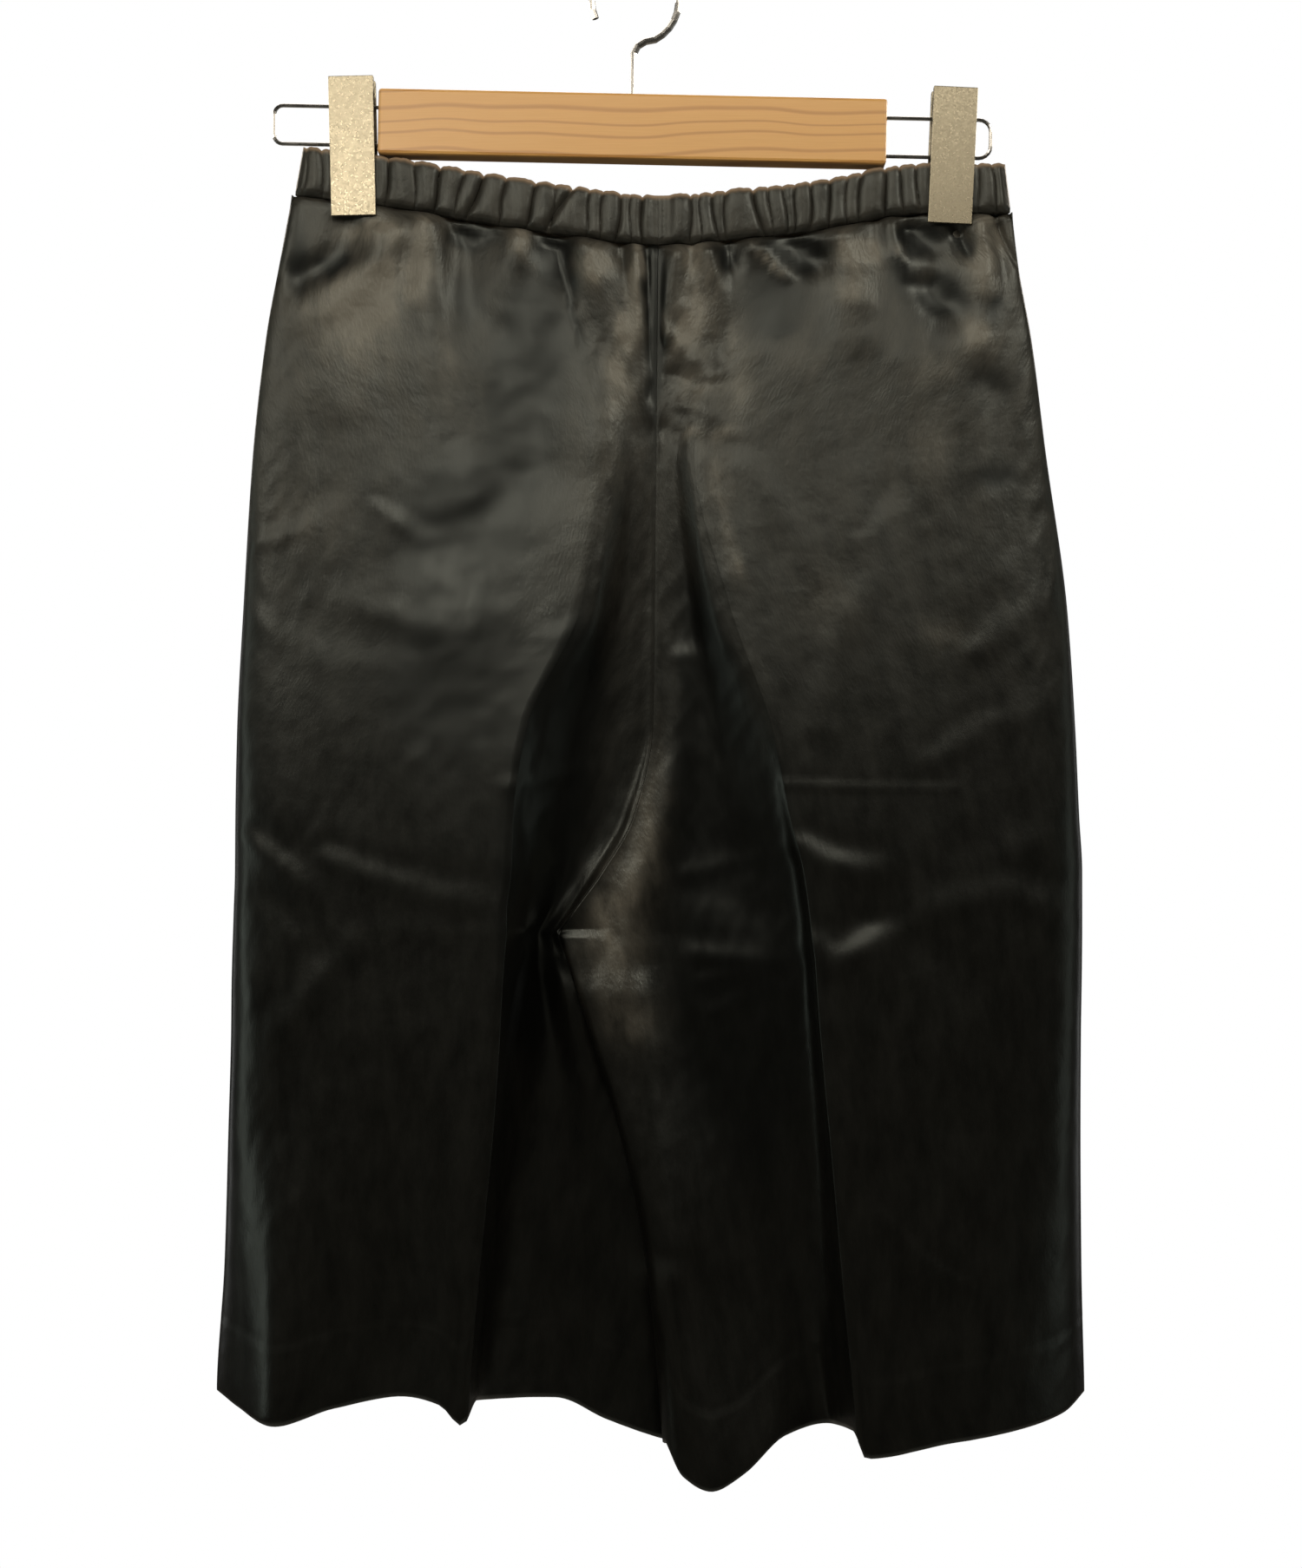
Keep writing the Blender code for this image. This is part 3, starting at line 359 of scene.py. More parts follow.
# Patches of painted sheen (above 0), where the satin is painted lighter and crinkles more, and of
# painted shade (below 0), where it is painted darker and smoother; each also tips the cloth up or
# down. Half sizes in millimetres, turned by so many degrees (above 0 the top leans right)
Patch = namedtuple("Patch", "across down wide tall turn strength")
PAINTED_LIGHT_PATCHES = table(Patch, (
    (-103, 126, 5, 9, 0, 0.7), (-112, 146, 12, 12, 0, 0.7), (-126, 151, 16, 12, 0, 0.8),
    (-150, 158, 7, 15, 60, 0.35), (-135, 171, 18, 14, 0, 0.4), (-140, 190, 22, 16, 0, 0.25),
    (-94, 176, 4, 22, 0, 0.25), (-61, 130, 4, 6, 0, 0.8), (-55, 140, 2.5, 8, -25, 0.4),
    (-26, 140, 9, 8, 0, 0.8), (-6, 138, 3, 14, 0, 0.8), (-10.5, 165, 6, 16, 10, 0.65),
    (-14.5, 191, 7, 12, 0, 0.55), (-17.5, 209, 4, 8, 0, 0.35), (-22, 232, 10, 18, 15, 0.15),
    (-34, 257, 6, 20, 15, 0.1), (21, 136, 7, 11, 0, 0.8), (17, 172, 10, 9, 0, 0.8),
    (22, 158, 9, 10, 0, 0.5), (40, 180, 6, 12, 0, 0.3), (42, 201, 7, 12, 0, 0.3),
    (22, 196, 10, 8, 0, 0.4), (18, 217, 5, 4, 0, 0.5), (33, 217, 5, 4, 0, 0.4),
    (30, 237, 5, 18, -10, 0.35), (35, 262, 4, 18, -12, 0.35), (39, 278, 3, 6, 0, 0.4),
    (56, 139, 2.2, 9, -50, 0.9), (94, 134, 14, 7, 0, 0.8), (94, 152, 8, 9, 0, 0.6),
    (115, 136, 2, 7, -30, 0.6), (152, 138, 9, 16, 0, 0.75), (151, 173, 9, 8, 0, 0.6),
    (133, 189, 10, 8, 0, 0.25), (70, 182, 8, 8, 0, 0.2), (129, 224, 12, 20, 0, 0.15),
    (-156, 257, 16, 18, 0, 0.2), (81, 294, 14, 16, 0, 0.2), (134, 310, 14, 7, 0, 0.2),
    (-146, 139, 7, 5, 0, -0.8), (-162, 138, 5, 14, 0, -0.4), (-82, 126, 10, 4.5, 0, -0.8),
    (-45, 136, 8, 9, 0, -1), (-89, 158, 12, 12, 0, -0.3), (-55, 178, 12, 26, 0, -1),
    (-62, 206, 11, 22, 0, -0.8), (-60, 226, 9, 16, 0, -0.6), (-36, 160, 2.5, 18, -12, -0.4),
    (1.6, 158, 4, 46, 0, -0.7), (34, 136, 5, 6, 0, -0.8), (68, 134, 13, 7, 0, -1),
    (58, 168, 6, 5, 0, -0.7), (56, 154, 14, 14, 0, -0.35), (123, 128, 10, 6, 0, -0.9),
    (134, 155, 10, 9, 0, -1), (115, 143, 5, 8, 0, -0.5), (144, 131, 3.5, 8, -35, -0.8),
    (158, 160, 4, 5, 0, -0.5), (158, 237, 12, 6, 0, -0.3), (158, 193, 10, 8, 0, -0.2),
    (-95, 289, 9, 24, -55, -0.25), (-128, 125, 16, 6, 0, 0.8), (-40, 340, 12, 30, 10, -0.6),
    (-47, 384, 11, 30, 0, -1), (-54, 440, 10, 40, 0, -1), (26, 330, 10, 40, -8, -0.5),
    (36, 400, 16, 40, -8, -0.8), (42, 480, 20, 50, 0, -0.8), (-1, 392, 7, 30, 8, 0.5),
    (-15, 430, 12, 24, 25, 0.6), (-16, 462, 14, 22, 0, 0.5), (-8, 490, 12, 12, -20, 0.35),
    (157, 124, 5, 8, 0, 0.8), (-84, 256, 24, 24, 15, -0.7), (-88, 326, 24, 30, 0, -0.6),
))
PATCH_TIP = 0.12  # how steeply a full patch tips the cloth up or down
PATCH_TALL = 22.0  # a patch taller than this tips it less
BACK_PATCHES_END = 250.0  # the back has the same patches mirrored, down to here
# The painted sheen and crinkle between them: everywhere, how much more at the top, where the extra
# painted sheen stands in for the light from above, inside the hem, and on the waistband
CRUSH_PAINTED_SHEEN_LOW = 0.16
CRUSH_PAINTED_SHEEN_TOP = 0.28
CRUSH_PAINTED_SHEEN_FADES = (150.0, 420.0)
CRUSH_PAINTED_SHEEN_INSIDE = 0.14
CRUSH_PAINTED_SHEEN_BAND = 0.45
# A painted highlight on the waistband's top edge, strongest on its first row
PAINTED_EDGE_HIGHLIGHT_ROWS = (1.0, 0.7, 0.25)  # the waistband's first rows, from its top edge

Clip = namedtuple("Clip", "side across down width height lean")
CLIPS = (
    Clip("left", -137.0, 86.5, 20.6, 64.2, math.radians(-1.3)),
    Clip("right", 138.4, 90.8, 20.2, 62.8, math.radians(2.7)),
)

# The grooves between the waistband's puffs: where each leaves the top edge and meets the foot,
# and how deep it is. The puff between two grooves rises as high as the pair is apart.
Groove = namedtuple("Groove", "top foot deep")
BAND_GROOVES = {
    "left": table(Groove, (
        (-158, -160, 0.5), (-151.5, -151, 0.9), (-146, -147.5, 0.7), (-133, -134.5, 0.4),
        (-120.5, -122.5, 1.3), (-108.5, -109, 0.4), (-96.5, -100.5, 1.1), (-86, -91, 0.35),
        (-76.5, -85.5, 1.6), (-67, -70, 0.6), (-52.5, -58, 1.1), (-44, -46, 0.35),
        (-36.5, -49, 1.7), (-28, -30, 0.5), (-22, -24, 0.5), (-13.5, -16, 1.1), (-9.5, -9.5, 0.5),
        (-4.5, -4, 1.4),
    )),
    "right": table(Groove, (
        (18.4, 18.2, 1.1), (22.5, 23, 0.5), (28, 30.5, 0.9), (34, 34, 0.6), (46.5, 52, 1.3),
        (54, 56, 0.5), (61, 63, 0.6), (66.5, 66, 0.7), (74, 73.5, 0.8), (82, 82.5, 0.9),
        (90, 90, 0.4), (97, 95, 0.7), (107.5, 108.5, 1.1), (114, 117, 0.7), (122, 124, 0.8),
        (136, 138, 0.4), (150.5, 151, 1.1), (157, 160, 0.6),
    )),
}
GROOVE_WIDTHS = (0.9, 1.5)  # of the faintest and the deepest
GROOVE_DEEPEST = 1.7
PUFF_SHARE = 0.2  # a puff's height over its width
BAND_SIDE_TOP = {"left": -159.8, "right": 162.8}
BAND_SIDE_FOOT = {"left": -163.8, "right": 165.4}
BAND_LEAST = 0.35
FOOT_TUCK = 2.0
TOP_TUCK = 0.5
CLIP_HOLDS = (9.0, 18.0)  # the puffs grow between these distances from a clip
SEAM_FLAT = (3.0, 7.5)  # and from the centre seam
# The centre seam's stitches, about 2.5 mm long
STITCH_ACROSS = 5.6
STITCH_WIDTH = 0.5
STITCH_DEEP = 0.3
STITCHES = 9


def smooth(low, high, value):
    """0 below low, 1 above high, and an even ease between."""
    t = np.clip((np.asarray(value, float) - low) / (high - low), 0.0, 1.0)
    return t * t * (3.0 - 2.0 * t)


def mix(a, b, t):
    return a + (b - a) * t


def bell(offset, width):
    """1 at no offset, falling to 0 a few widths away."""
    return np.exp(-((offset / width) ** 2))


def hermite(start, start_slope, end, end_slope, t):
    """A cubic from start to end with a given slope at each."""
    t2 = t * t
    t3 = t2 * t
    return (
        start * (2 * t3 - 3 * t2 + 1)
        + start_slope * (t3 - 2 * t2 + t)
        + end * (3 * t2 - 2 * t3)
        + end_slope * (t3 - t2)
    )


def read(rows, key, column, at):
    """A table's column at places between its rows, by a curve that never overshoots."""
    keys = np.array([getattr(row, key) for row in rows], float)
    values = np.array([getattr(row, column) for row in rows], float)
    if keys[0] > keys[-1]:
        keys = keys[::-1]
        values = values[::-1]
    at = np.clip(np.asarray(at, float), keys[0], keys[-1])
    steps = np.diff(keys)
    slopes = np.diff(values) / steps
    ends = np.empty(len(keys))
    ends[0] = slopes[0]
    ends[-1] = slopes[-1]
    before, after = slopes[:-1], slopes[1:]
    alike = before * after > 0
    ends[1:-1] = np.where(alike, 2 * before * after / np.where(alike, before + after, 1.0), 0.0)
    i = np.clip(np.searchsorted(keys, at, side="right") - 1, 0, len(steps) - 1)
    t = (at - keys[i]) / steps[i]
    return hermite(values[i], ends[i] * steps[i], values[i + 1], ends[i + 1] * steps[i], t)


def leg_read(side, column, down):
    """A leg's section values; the tables break at the crotch, where the inner edge turns."""
    rows = LEGS[side]
    crotch = next(k for k, row in enumerate(rows) if row.down == CROTCH_DOWN)
    above = read(rows[: crotch + 1], "down", column, down)
    below = read(rows[crotch:], "down", column, down)
    return np.where(np.asarray(down) <= CROTCH_DOWN, above, below)


def lattice_noise(x, y, seed):
    """Smooth noise from -1 to 1 over a lattice of unit cells, which repeats every 256 of them."""
    rng = np.random.RandomState(seed)
    turn = rng.rand(256) * 2 * math.pi
    order = rng.permutation(256)
    i = np.floor(x).astype(int)
    j = np.floor(y).astype(int)
    fx = x - i
    fy = y - j

    def corner(di, dj):
        angle = turn[order[(order[(i + di) & 255] + j + dj) & 255]]
        return np.cos(angle) * (fx - di) + np.sin(angle) * (fy - dj)

    ease_x = fx * fx * fx * (fx * (fx * 6 - 15) + 10)
    ease_y = fy * fy * fy * (fy * (fy * 6 - 15) + 10)
    low = mix(corner(0, 0), corner(1, 0), ease_x)
    high = mix(corner(0, 1), corner(1, 1), ease_x)
    return 1.4 * mix(low, high, ease_y)


def fold_forward(folds, across, down):
    """What the folds add to the depth, in millimetres."""
    total = np.zeros_like(across)
    for each in folds:
        path = np.array(each.path, float)
        runs = np.diff(path, axis=0)
        lengths = np.hypot(runs[:, 0], runs[:, 1])
        whole = lengths.sum()
        nearest = np.full(across.shape, np.inf)
        signed = np.zeros_like(across)
        along = np.zeros_like(across)
        past = np.zeros_like(across)
        for k, (start, run, length) in enumerate(zip(path[:-1], runs, lengths)):
            ox = across - start[0]
            oy = down - start[1]
            t = (ox * run[0] + oy * run[1]) / length**2
            on = np.clip(t, 0.0, 1.0)
            apart = np.hypot(ox - on * run[0], oy - on * run[1])
            closer = apart < nearest
            nearest = np.where(closer, apart, nearest)
            signed = np.where(closer, (ox * run[1] - oy * run[0]) / length, signed)
            along = np.where(closer, (lengths[:k].sum() + on * length) / whole, along)
            beyond = np.maximum(-t, t - 1.0) * length
            past = np.where(closer, np.maximum(beyond, 0.0), past)
        wide = mix(each.wide1, each.wide2, along)
        deep = mix(each.deep1, each.deep2, along)
        sink = bell(signed - LEAN_OFFSET * wide, wide) * bell(past, wide)
        sink = each.lean * sink * (nearest < LEAN_REACH * wide)
        total += deep * (bell(nearest, wide) - sink)
    return total


def section_points(side, down, face):
    """The section's own points from the crease to the inner edge, each (across, forward)."""
    at = Section(down, *(leg_read(side, column, down) for column in Section._fields[1:]))
    crease_for, dip_for = at.crease_for, at.dip_for
    bulge_for, inner_for = at.bulge_for, at.inner_for
    if face == "back":
        crease_for = -BACK_CREASE * crease_for
        dip_for = -mix(*BACK_DIP, smooth(CROTCH_DOWN, HEM_LEVEL, down))
        inner_for = at.back_inner_for
        to_crotch = smooth(CURVE_START, CROTCH_DOWN, down)
        bulge_for = mix(dip_for, inner_for - BACK_BULGE, to_crotch * 0.5)
    share = mix(*WALL_SHARE, smooth(*WALL_GROWS, down))
    run = mix(np.abs(at.crease - at.dip) / 3.0, WALL_RUN, smooth(*WALL_STARTS, down))
    foot = at.crease - OUTWARD[side] * run
    foot_for = crease_for - share * (crease_for - dip_for)
    across = (at.crease, foot, at.dip, at.bulge, at.inner)
    forward = (crease_for, foot_for, dip_for, bulge_for, inner_for)
    return [np.stack(pair, -1) for pair in zip(across, forward)]


def section(side, down, face, shares):
    """(across, forward) for every row in down and every share from side seam to inner edge."""
    points = section_points(side, down, face)
    spans = len(points) - 1
    crease = points[0]
    seam = leg_read(side, "side", down)
    facing = FACING[face]
    # Above the crotch the cloth runs on flat past its inner edge, below it turns back
    after_inner = np.where(
        (down <= CROTCH_DOWN)[:, None],
        points[-1] * 2 - points[-2],
        np.stack([points[-2][:, 0], points[-1][:, 1] - facing * INSEAM_TURN], -1),
    )
    chain = [points[0] * 2 - points[1], *points, after_inner]
    start = np.stack([seam, np.zeros_like(seam)], -1)
    round_for = facing * (SIDE_ROUND + SIDE_ROUND_SHARE * np.abs(crease[:, 1]))
    round_to = np.stack([seam, round_for], -1)
    lead_for = crease[:, 1] * LEAD_SHARE + facing * LEAD_FORWARD
    lead = np.stack([mix(seam, crease[:, 0], 0.5), lead_for], -1)
    result = np.zeros((len(down), len(shares), 2))
    for k, u in enumerate(shares):
        if u <= CREASE_U:
            t = (u / CREASE_U) ** SIDE_EASE
            s = 1.0 - t
            result[:, k] = (
                start * s**3 + round_to * (3 * s * s * t) + lead * (3 * s * t * t) + crease * t**3
            )
            continue
        place = (u - CREASE_U) / (1.0 - CREASE_U) * spans
        i = min(int(place), spans - 1)
        t = place - i
        p0, p1, p2, p3 = chain[i : i + 4]
        result[:, k] = hermite(p1, (p2 - p0) * 0.5, p2, (p3 - p1) * 0.5, t)
    return result


def band_forward(across, side):
    """How far the waist stands forward: flat at the clips, bowed between, round at the side."""
    clip = np.where(across < 0, CLIPS[0].across, CLIPS[1].across)
    bow = BAND_BOW * np.cos(math.pi / 2 * np.minimum(np.abs(across / clip), 1.0)) ** 2
    to_side = np.minimum(np.abs(side - across) / BAND_ROUND, 1.0)
    return (BAND_FOR_REST + bow) * np.sqrt(np.maximum(1.0 - (1.0 - to_side) ** 2, 0.0))


def pinched(forward, across, down):
    """A depth held to what the clips' jaws leave; the cloth opens again away from them."""
    for clip in CLIPS:
        middle = clip.across - (down - clip.down) * math.tan(clip.lean)
        beside = np.maximum(np.abs(across - middle) - clip.width / 2 - JAW_MARGIN, 0.0)
        below = np.maximum(down - clip.down - clip.height / 2 - JAW_MARGIN, 0.0)
        room = JAW_INSIDE - JAW_CLEAR - PINCHED_WALL / 2 + JAW_OPENS * np.hypot(beside, below)
        forward = np.clip(forward, -room, room)
    return forward


def stand(across, down, forward, depth):
    """Real places of points seen at across and down, in metres."""
    shrink = 1.0 - forward / EYE_DISTANCE
    x = MIDDLE_X + across * shrink
    z = -(EYE_DOWN + (down - EYE_DOWN) * shrink)
    return np.stack([x, -depth, z], -1) * MM


def crumple(across, down, seed):
    """The soft unevenness of worn satin: hand-sized swells, finger-sized dents, fine crinkle."""
    warp = 3.0 * lattice_noise(across / 30, down / 30, seed + 2)
    leaning = across + 0.35 * down
    ridges = lattice_noise((leaning + warp) / 11, (down - warp) / 26, seed + 3)
    # Each layer's form, its height and what is left of it low down
    layers = (
        (lattice_noise(across / 32 + 3.1, down / 140 + 1.7, seed), 0.8, 0.7),
        (lattice_noise(across / 15, down / 60, seed + 1), 0.4, 0.8),
        (1.0 - np.abs(ridges) * 2.2, 0.2, 0.7),
        (lattice_noise((across + warp) / 5.5, down / 11, seed + 4), 0.16, 0.6),
        (lattice_noise((across - warp) / 3.6, (down + warp) / 7.0, seed + 5), 0.07, 0.6),
    )
    upper = 1.0 - smooth(*CRUMPLE_FADES, down)
    return sum(high * form * mix(left, 1.0, upper) for form, high, left in layers)


def crushed(patches, across, down, seed):
    """How much painted sheen and crinkle the satin has, from 0 to 1, and how its patches stand out,
    in millimetres.
    """
    ragged_across = across + 3.0 * lattice_noise(across / 9, down / 14, seed + 6)
    ragged_down = down + 4.0 * lattice_noise(across / 11, down / 12, seed + 7)
    # Painted sheen everywhere, and more at the top as a painted highlight
    level = CRUSH_PAINTED_SHEEN_LOW + CRUSH_PAINTED_SHEEN_TOP * (1.0 - smooth(*CRUSH_PAINTED_SHEEN_FADES, down))
    stands = np.zeros_like(across)
    for patch in patches:
        turn = math.radians(patch.turn)
        ox = ragged_across - patch.across
        oy = ragged_down - patch.down
        wide = (ox * math.cos(turn) + oy * math.sin(turn)) / patch.wide
        tall = (oy * math.cos(turn) - ox * math.sin(turn)) / patch.tall
        shape = patch.strength * np.exp(-(wide**2) - tall**2)
        level = level + shape
        tip = PATCH_TIP * min(1.0, PATCH_TALL / patch.tall)
        stands = stands + shape * tip * (down - patch.down)
    return np.clip(level, 0.0, 1.0), stands


def panel_folds(side, face, across, down, rows, shares):
    """What a panel's gathers, wrinkles and patches add to its depth, and its level of painted sheen
    and crinkle.
    """
    seed = SEEDS[side, face]
    added = fold_forward(GATHERS[face], across, down) * GATHER_GAIN
    added = added + fold_forward(WRINKLES[face], across, down)
    grows = smooth(TOP_LEVEL, TOP_LEVEL + CRUMPLE_STARTS, rows)
    added = added + crumple(across, down, seed) * grows
    if face == "front":
        crush_and_painted_sheen_level, stands = crushed(PAINTED_LIGHT_PATCHES, across, down, seed)
    else:
        upper = [patch for patch in PAINTED_LIGHT_PATCHES if patch.down < BACK_PATCHES_END]
        crush_and_painted_sheen_level, stands = crushed(upper, -across, down, seed)
    low = smooth(*PRESSED_RANGE, rows)
    pressed = smooth(0.0, PRESSED_SHARE, np.abs(shares - CREASE_U)[None, :]) * low + 1 - low
    return (added + stands) * mix(PRESSED_LEFT, 1.0, pressed), crush_and_painted_sheen_level


def shape_panel(side, face):
    """A panel's points and its painted sheen and crinkle level there, in rows from the waist seam
    to the hem.
    """
    outer, inner, count = PANEL_NET[face]
    to_crease = np.linspace(0.0, CREASE_U, outer + 1)
    shares = np.concatenate([to_crease, np.linspace(CREASE_U, 1.0, inner + 1)[1:]])
    level = np.linspace(TOP_LEVEL, HEM_LEVEL, count + 1)
    front = section(side, level, "front", shares)
    across = front[..., 0]
    rows = level[:, None]
    seam_top = read(WAIST_EDGE, "across", "down", across) + BAND_HEIGHT + SEAM_GAP
    hem = read(HEM_EDGE[side], "across", "down", across)
    down = rows + (seam_top - TOP_LEVEL) * (1.0 - smooth(TOP_LEVEL, TOP_SETTLES, rows))
    down = down + (hem - HEM_LEVEL) * smooth(HEM_STARTS, HEM_LEVEL, rows)
    facing = FACING[face]
    sewn = 1.0 - smooth(TOP_LEVEL, TOP_LEVEL + SEWN_RUN, rows)
    waist_for = band_forward(across, leg_read(side, "side", level)[:, None])
    plain_front = mix(front[..., 1], waist_for, sewn)
    plain = mix(section(side, level, face, shares)[..., 1], facing * waist_for, sewn)
    added, crush_and_painted_sheen_level = panel_folds(side, face, across, down, rows, shares)
    free = smooth(0.0, HELD_SIDE, shares) * smooth(0.0, HELD_INNER, 1.0 - shares)
    free = free[None, :] * mix(HELD_AT_WAIST, 1.0, smooth(TOP_LEVEL, TOP_LEVEL + HELD_RUN, rows))
    folded = plain + facing * free * added
    seam_dip = bell(shares, SIDE_DIP) + bell(1.0 - shares, INNER_DIP)
    folded = folded - facing * SEAM_DIP * seam_dip[None, :]
    folded = folded - facing * WAIST_TUCK * bell(down - seam_top, WAIST_TUCK_WIDTH)
    above_hem = hem - down
    step = HEM_STEP * (1.0 - smooth(HEM_TURN - HEM_STEP_RUN, HEM_TURN, above_hem))
    line = HEM_LINE * bell(above_hem - HEM_TURN, HEM_LINE_WIDTH)
    folded = folded + facing * (step - line) * smooth(*HEM_SHOWS, rows)
    points = stand(across, down, plain_front, pinched(folded, across, down))
    return turn_up(points, facing * OUTWARD[side], above_hem), crush_and_painted_sheen_level


def turn_up(points, turn, above_hem):
    """Adds the hem's allowance: round the fold and up the inside, as far as it was turned."""
    down_way = np.gradient(points, axis=0)
    side_way = np.gradient(points, axis=1)
    inward = np.cross(down_way, side_way) * turn
    inward = inward / np.linalg.norm(inward, axis=-1, keepdims=True)
    count = int(np.argmin(np.abs(above_hem.mean(1) - HEM_TURN)))
    inside = points[count:][::-1] + inward[count:][::-1] * HEM_APART * MM
    under = points[-1] + inward[-1] * HEM_APART / 2 * MM
    under[:, 2] -= HEM_ROUND * MM
    return np.concatenate([points, under[None], inside[::2]], 0)


def shape_band(side, face, puff):
    """A quarter of the casing: puffs between grooves that run from its top edge to its foot."""
    columns, count = BAND_NET[face]
    shares = np.linspace(0.0, 1.0, columns + 1)[None, :]
    rise = np.linspace(0.0, 1.0, count + 1)[:, None]
    edge = mix(BAND_SIDE_TOP[side], BAND_SIDE_FOOT[side], rise)
    across = mix(edge, CENTRE_SEAM, shares)
    grooves = BAND_GROOVES[side]
    if face == "back":
        grooves = [
            Groove(g.top + 2.0 * math.sin(3.1 * k), g.foot - 2.0 * math.cos(2.3 * k), g.deep)
            for k, g in enumerate(grooves)
        ]
    places = [mix(g.top, g.foot, rise) + 0.5 * np.sin(rise * 5.0 + g.top) for g in grooves]
    height = np.zeros_like(across)
    bounds = np.sort(np.concatenate([*places, edge, edge * 0 + CENTRE_SEAM], 1), 1)
    for left, right in zip(bounds[:, :-1].T, bounds[:, 1:].T):
        apart = np.maximum(right - left, 0.1)[:, None]
        t = np.clip((across - left[:, None]) / apart, 0.0, 1.0)
        height += np.sqrt(4.0 * t * (1.0 - t)) * np.minimum(PUFF_SHARE * apart, puff)
    for groove, at in zip(grooves, places):
        wide = mix(*GROOVE_WIDTHS, groove.deep / GROOVE_DEEPEST)
        height -= groove.deep * np.exp(-((np.abs(across - at) / wide) ** 1.5))
    stitched = bell(across - STITCH_ACROSS, STITCH_WIDTH)
    stitched = stitched * (0.5 + 0.5 * np.cos(rise * STITCHES * 2.0 * math.pi))
    ripple = lattice_noise(across / 3.4, rise * 1.1 + 4.0, 71) * 0.22
    ripple += lattice_noise(across / 9.0, rise * 1.6 + 9.0, 72) * 0.4
    puffed = 1.0 - (2.0 * rise - 1.0) ** 6
    near_clip = np.minimum(np.abs(across - CLIPS[0].across), np.abs(across - CLIPS[1].across))
    held = mix(0.3, 1.0, smooth(*CLIP_HOLDS, near_clip))
    flat = smooth(*SEAM_FLAT, np.abs(across - CENTRE_SEAM - 1.5))
    at_edges = smooth(0.0, 0.02, shares) * smooth(0.0, 0.008, 1.0 - shares)
    forward = band_forward(across, edge)
    grown = puff * (0.3 * puffed - 0.1) + (height + ripple) * (0.35 + 0.65 * puffed) * flat
    tucked = FOOT_TUCK * smooth(0.88, 1.0, rise) + TOP_TUCK * (1 - smooth(0.0, 0.08, rise))
    rest = forward + held * grown * at_edges * np.minimum(forward / 3.0, 1.0) - tucked * held
    rest = np.maximum(rest - STITCH_DEEP * stitched, BAND_LEAST)
    down = read(WAIST_EDGE, "across", "down", across) + BAND_HEIGHT * rise
    frill = 0.5 * lattice_noise(across / 2.6, across * 0 + 2.0, 73) + 0.55 * (height - 0.8)
    down = down - frill * (1.0 - rise) ** 3 * held * flat
    return stand(across, down, forward, FACING[face] * pinched(rest, across, down))


def sheet_mesh(name, points, flat):
    """A mesh of a grid of points with the cut cloth's own flat millimetres as its UV map."""
    rows, columns = points.shape[:2]
    mesh = bpy.data.meshes.new(name)
    index = np.arange(rows * columns).reshape(rows, columns)
    quads = np.stack([index[:-1, :-1], index[1:, :-1], index[1:, 1:], index[:-1, 1:]], -1)
    quads = quads.reshape(-1, 4)
    mesh.from_pydata(points.reshape(-1, 3).tolist(), [], quads.tolist())
    mesh.update()
    layer = mesh.uv_layers.new(name="cloth")
    uv = flat.reshape(-1, 2)[quads.reshape(-1)]
    layer.data.foreach_set("uv", (uv * MM).reshape(-1))
    mesh.polygons.foreach_set("use_smooth", [True] * len(quads))
    return mesh


def add_marks(mesh, name, values):
    """Stores how strongly the cloth is marked at each point, for its material to read."""
    layer = mesh.attributes.new(name, "FLOAT", "POINT")
    layer.data.foreach_set("value", values.astype(np.float32).reshape(-1))


def flat_cut(points):
    """The cloth laid flat: arc length along the rows and down the columns, in millimetres."""
    side_steps = np.linalg.norm(np.diff(points, axis=1), axis=-1) / MM
    down_steps = np.linalg.norm(np.diff(points, axis=0), axis=-1) / MM
    u = np.concatenate([np.zeros((len(points), 1)), np.cumsum(side_steps, 1)], 1)
    middle = u[:, u.shape[1] // 2][:, None]
    v = np.concatenate([np.zeros((1, points.shape[1])), np.cumsum(down_steps, 0)], 0)
    v = np.broadcast_to(v.mean(1)[:, None], u.shape)
    return np.stack([u - middle, v], -1)


def add_cloth(name, points, marks, outward, wall):
    """Links a grid of points as a satin piece of the object, with its wall and its marks."""
    if outward < 0:
        points = points[:, ::-1]
        marks = {kind: values[:, ::-1] for kind, values in marks.items()}
    mesh = sheet_mesh(name, points, flat_cut(points))
    for kind, values in marks.items():
        add_marks(mesh, kind, values)
    piece = bpy.data.objects.new(name, mesh)
    bpy.context.scene.collection.objects.link(piece)
    mesh.materials.append(satin())
    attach(piece, "root")
    skin = piece.modifiers.new("wall", "SOLIDIFY")
    skin.thickness = wall * MM
    skin.offset = 0.0
    skin.use_even_offset = False
    select_only(piece)
    bpy.ops.object.modifier_apply(modifier=skin.name)
    return piece


def select_only(thing):
    bpy.ops.object.select_all(action="DESELECT")
    thing.select_set(True)
    bpy.context.view_layer.objects.active = thing


def linear(text):
    """An sRGB hex colour as linear RGBA."""
    parts = [int(text[k : k + 2], 16) / 255 for k in (1, 3, 5)]
    made = [c / 12.92 if c <= 0.04045 else ((c + 0.055) / 1.055) ** 2.4 for c in parts]
    return (*made, 1.0)


def wire(tree, made, links):
    """Feeds a node's inputs, by name or numbered as _0, from nodes, sockets or plain values."""
    for key, value in links.items():
        socket = made.inputs[int(key[1:]) if key[0] == "_" else key.replace("_", " ")]
        if isinstance(value, bpy.types.Node):
            value = value.outputs[0]
        if isinstance(value, bpy.types.NodeSocket):
            tree.links.new(value, socket)
        else:
            socket.default_value = value


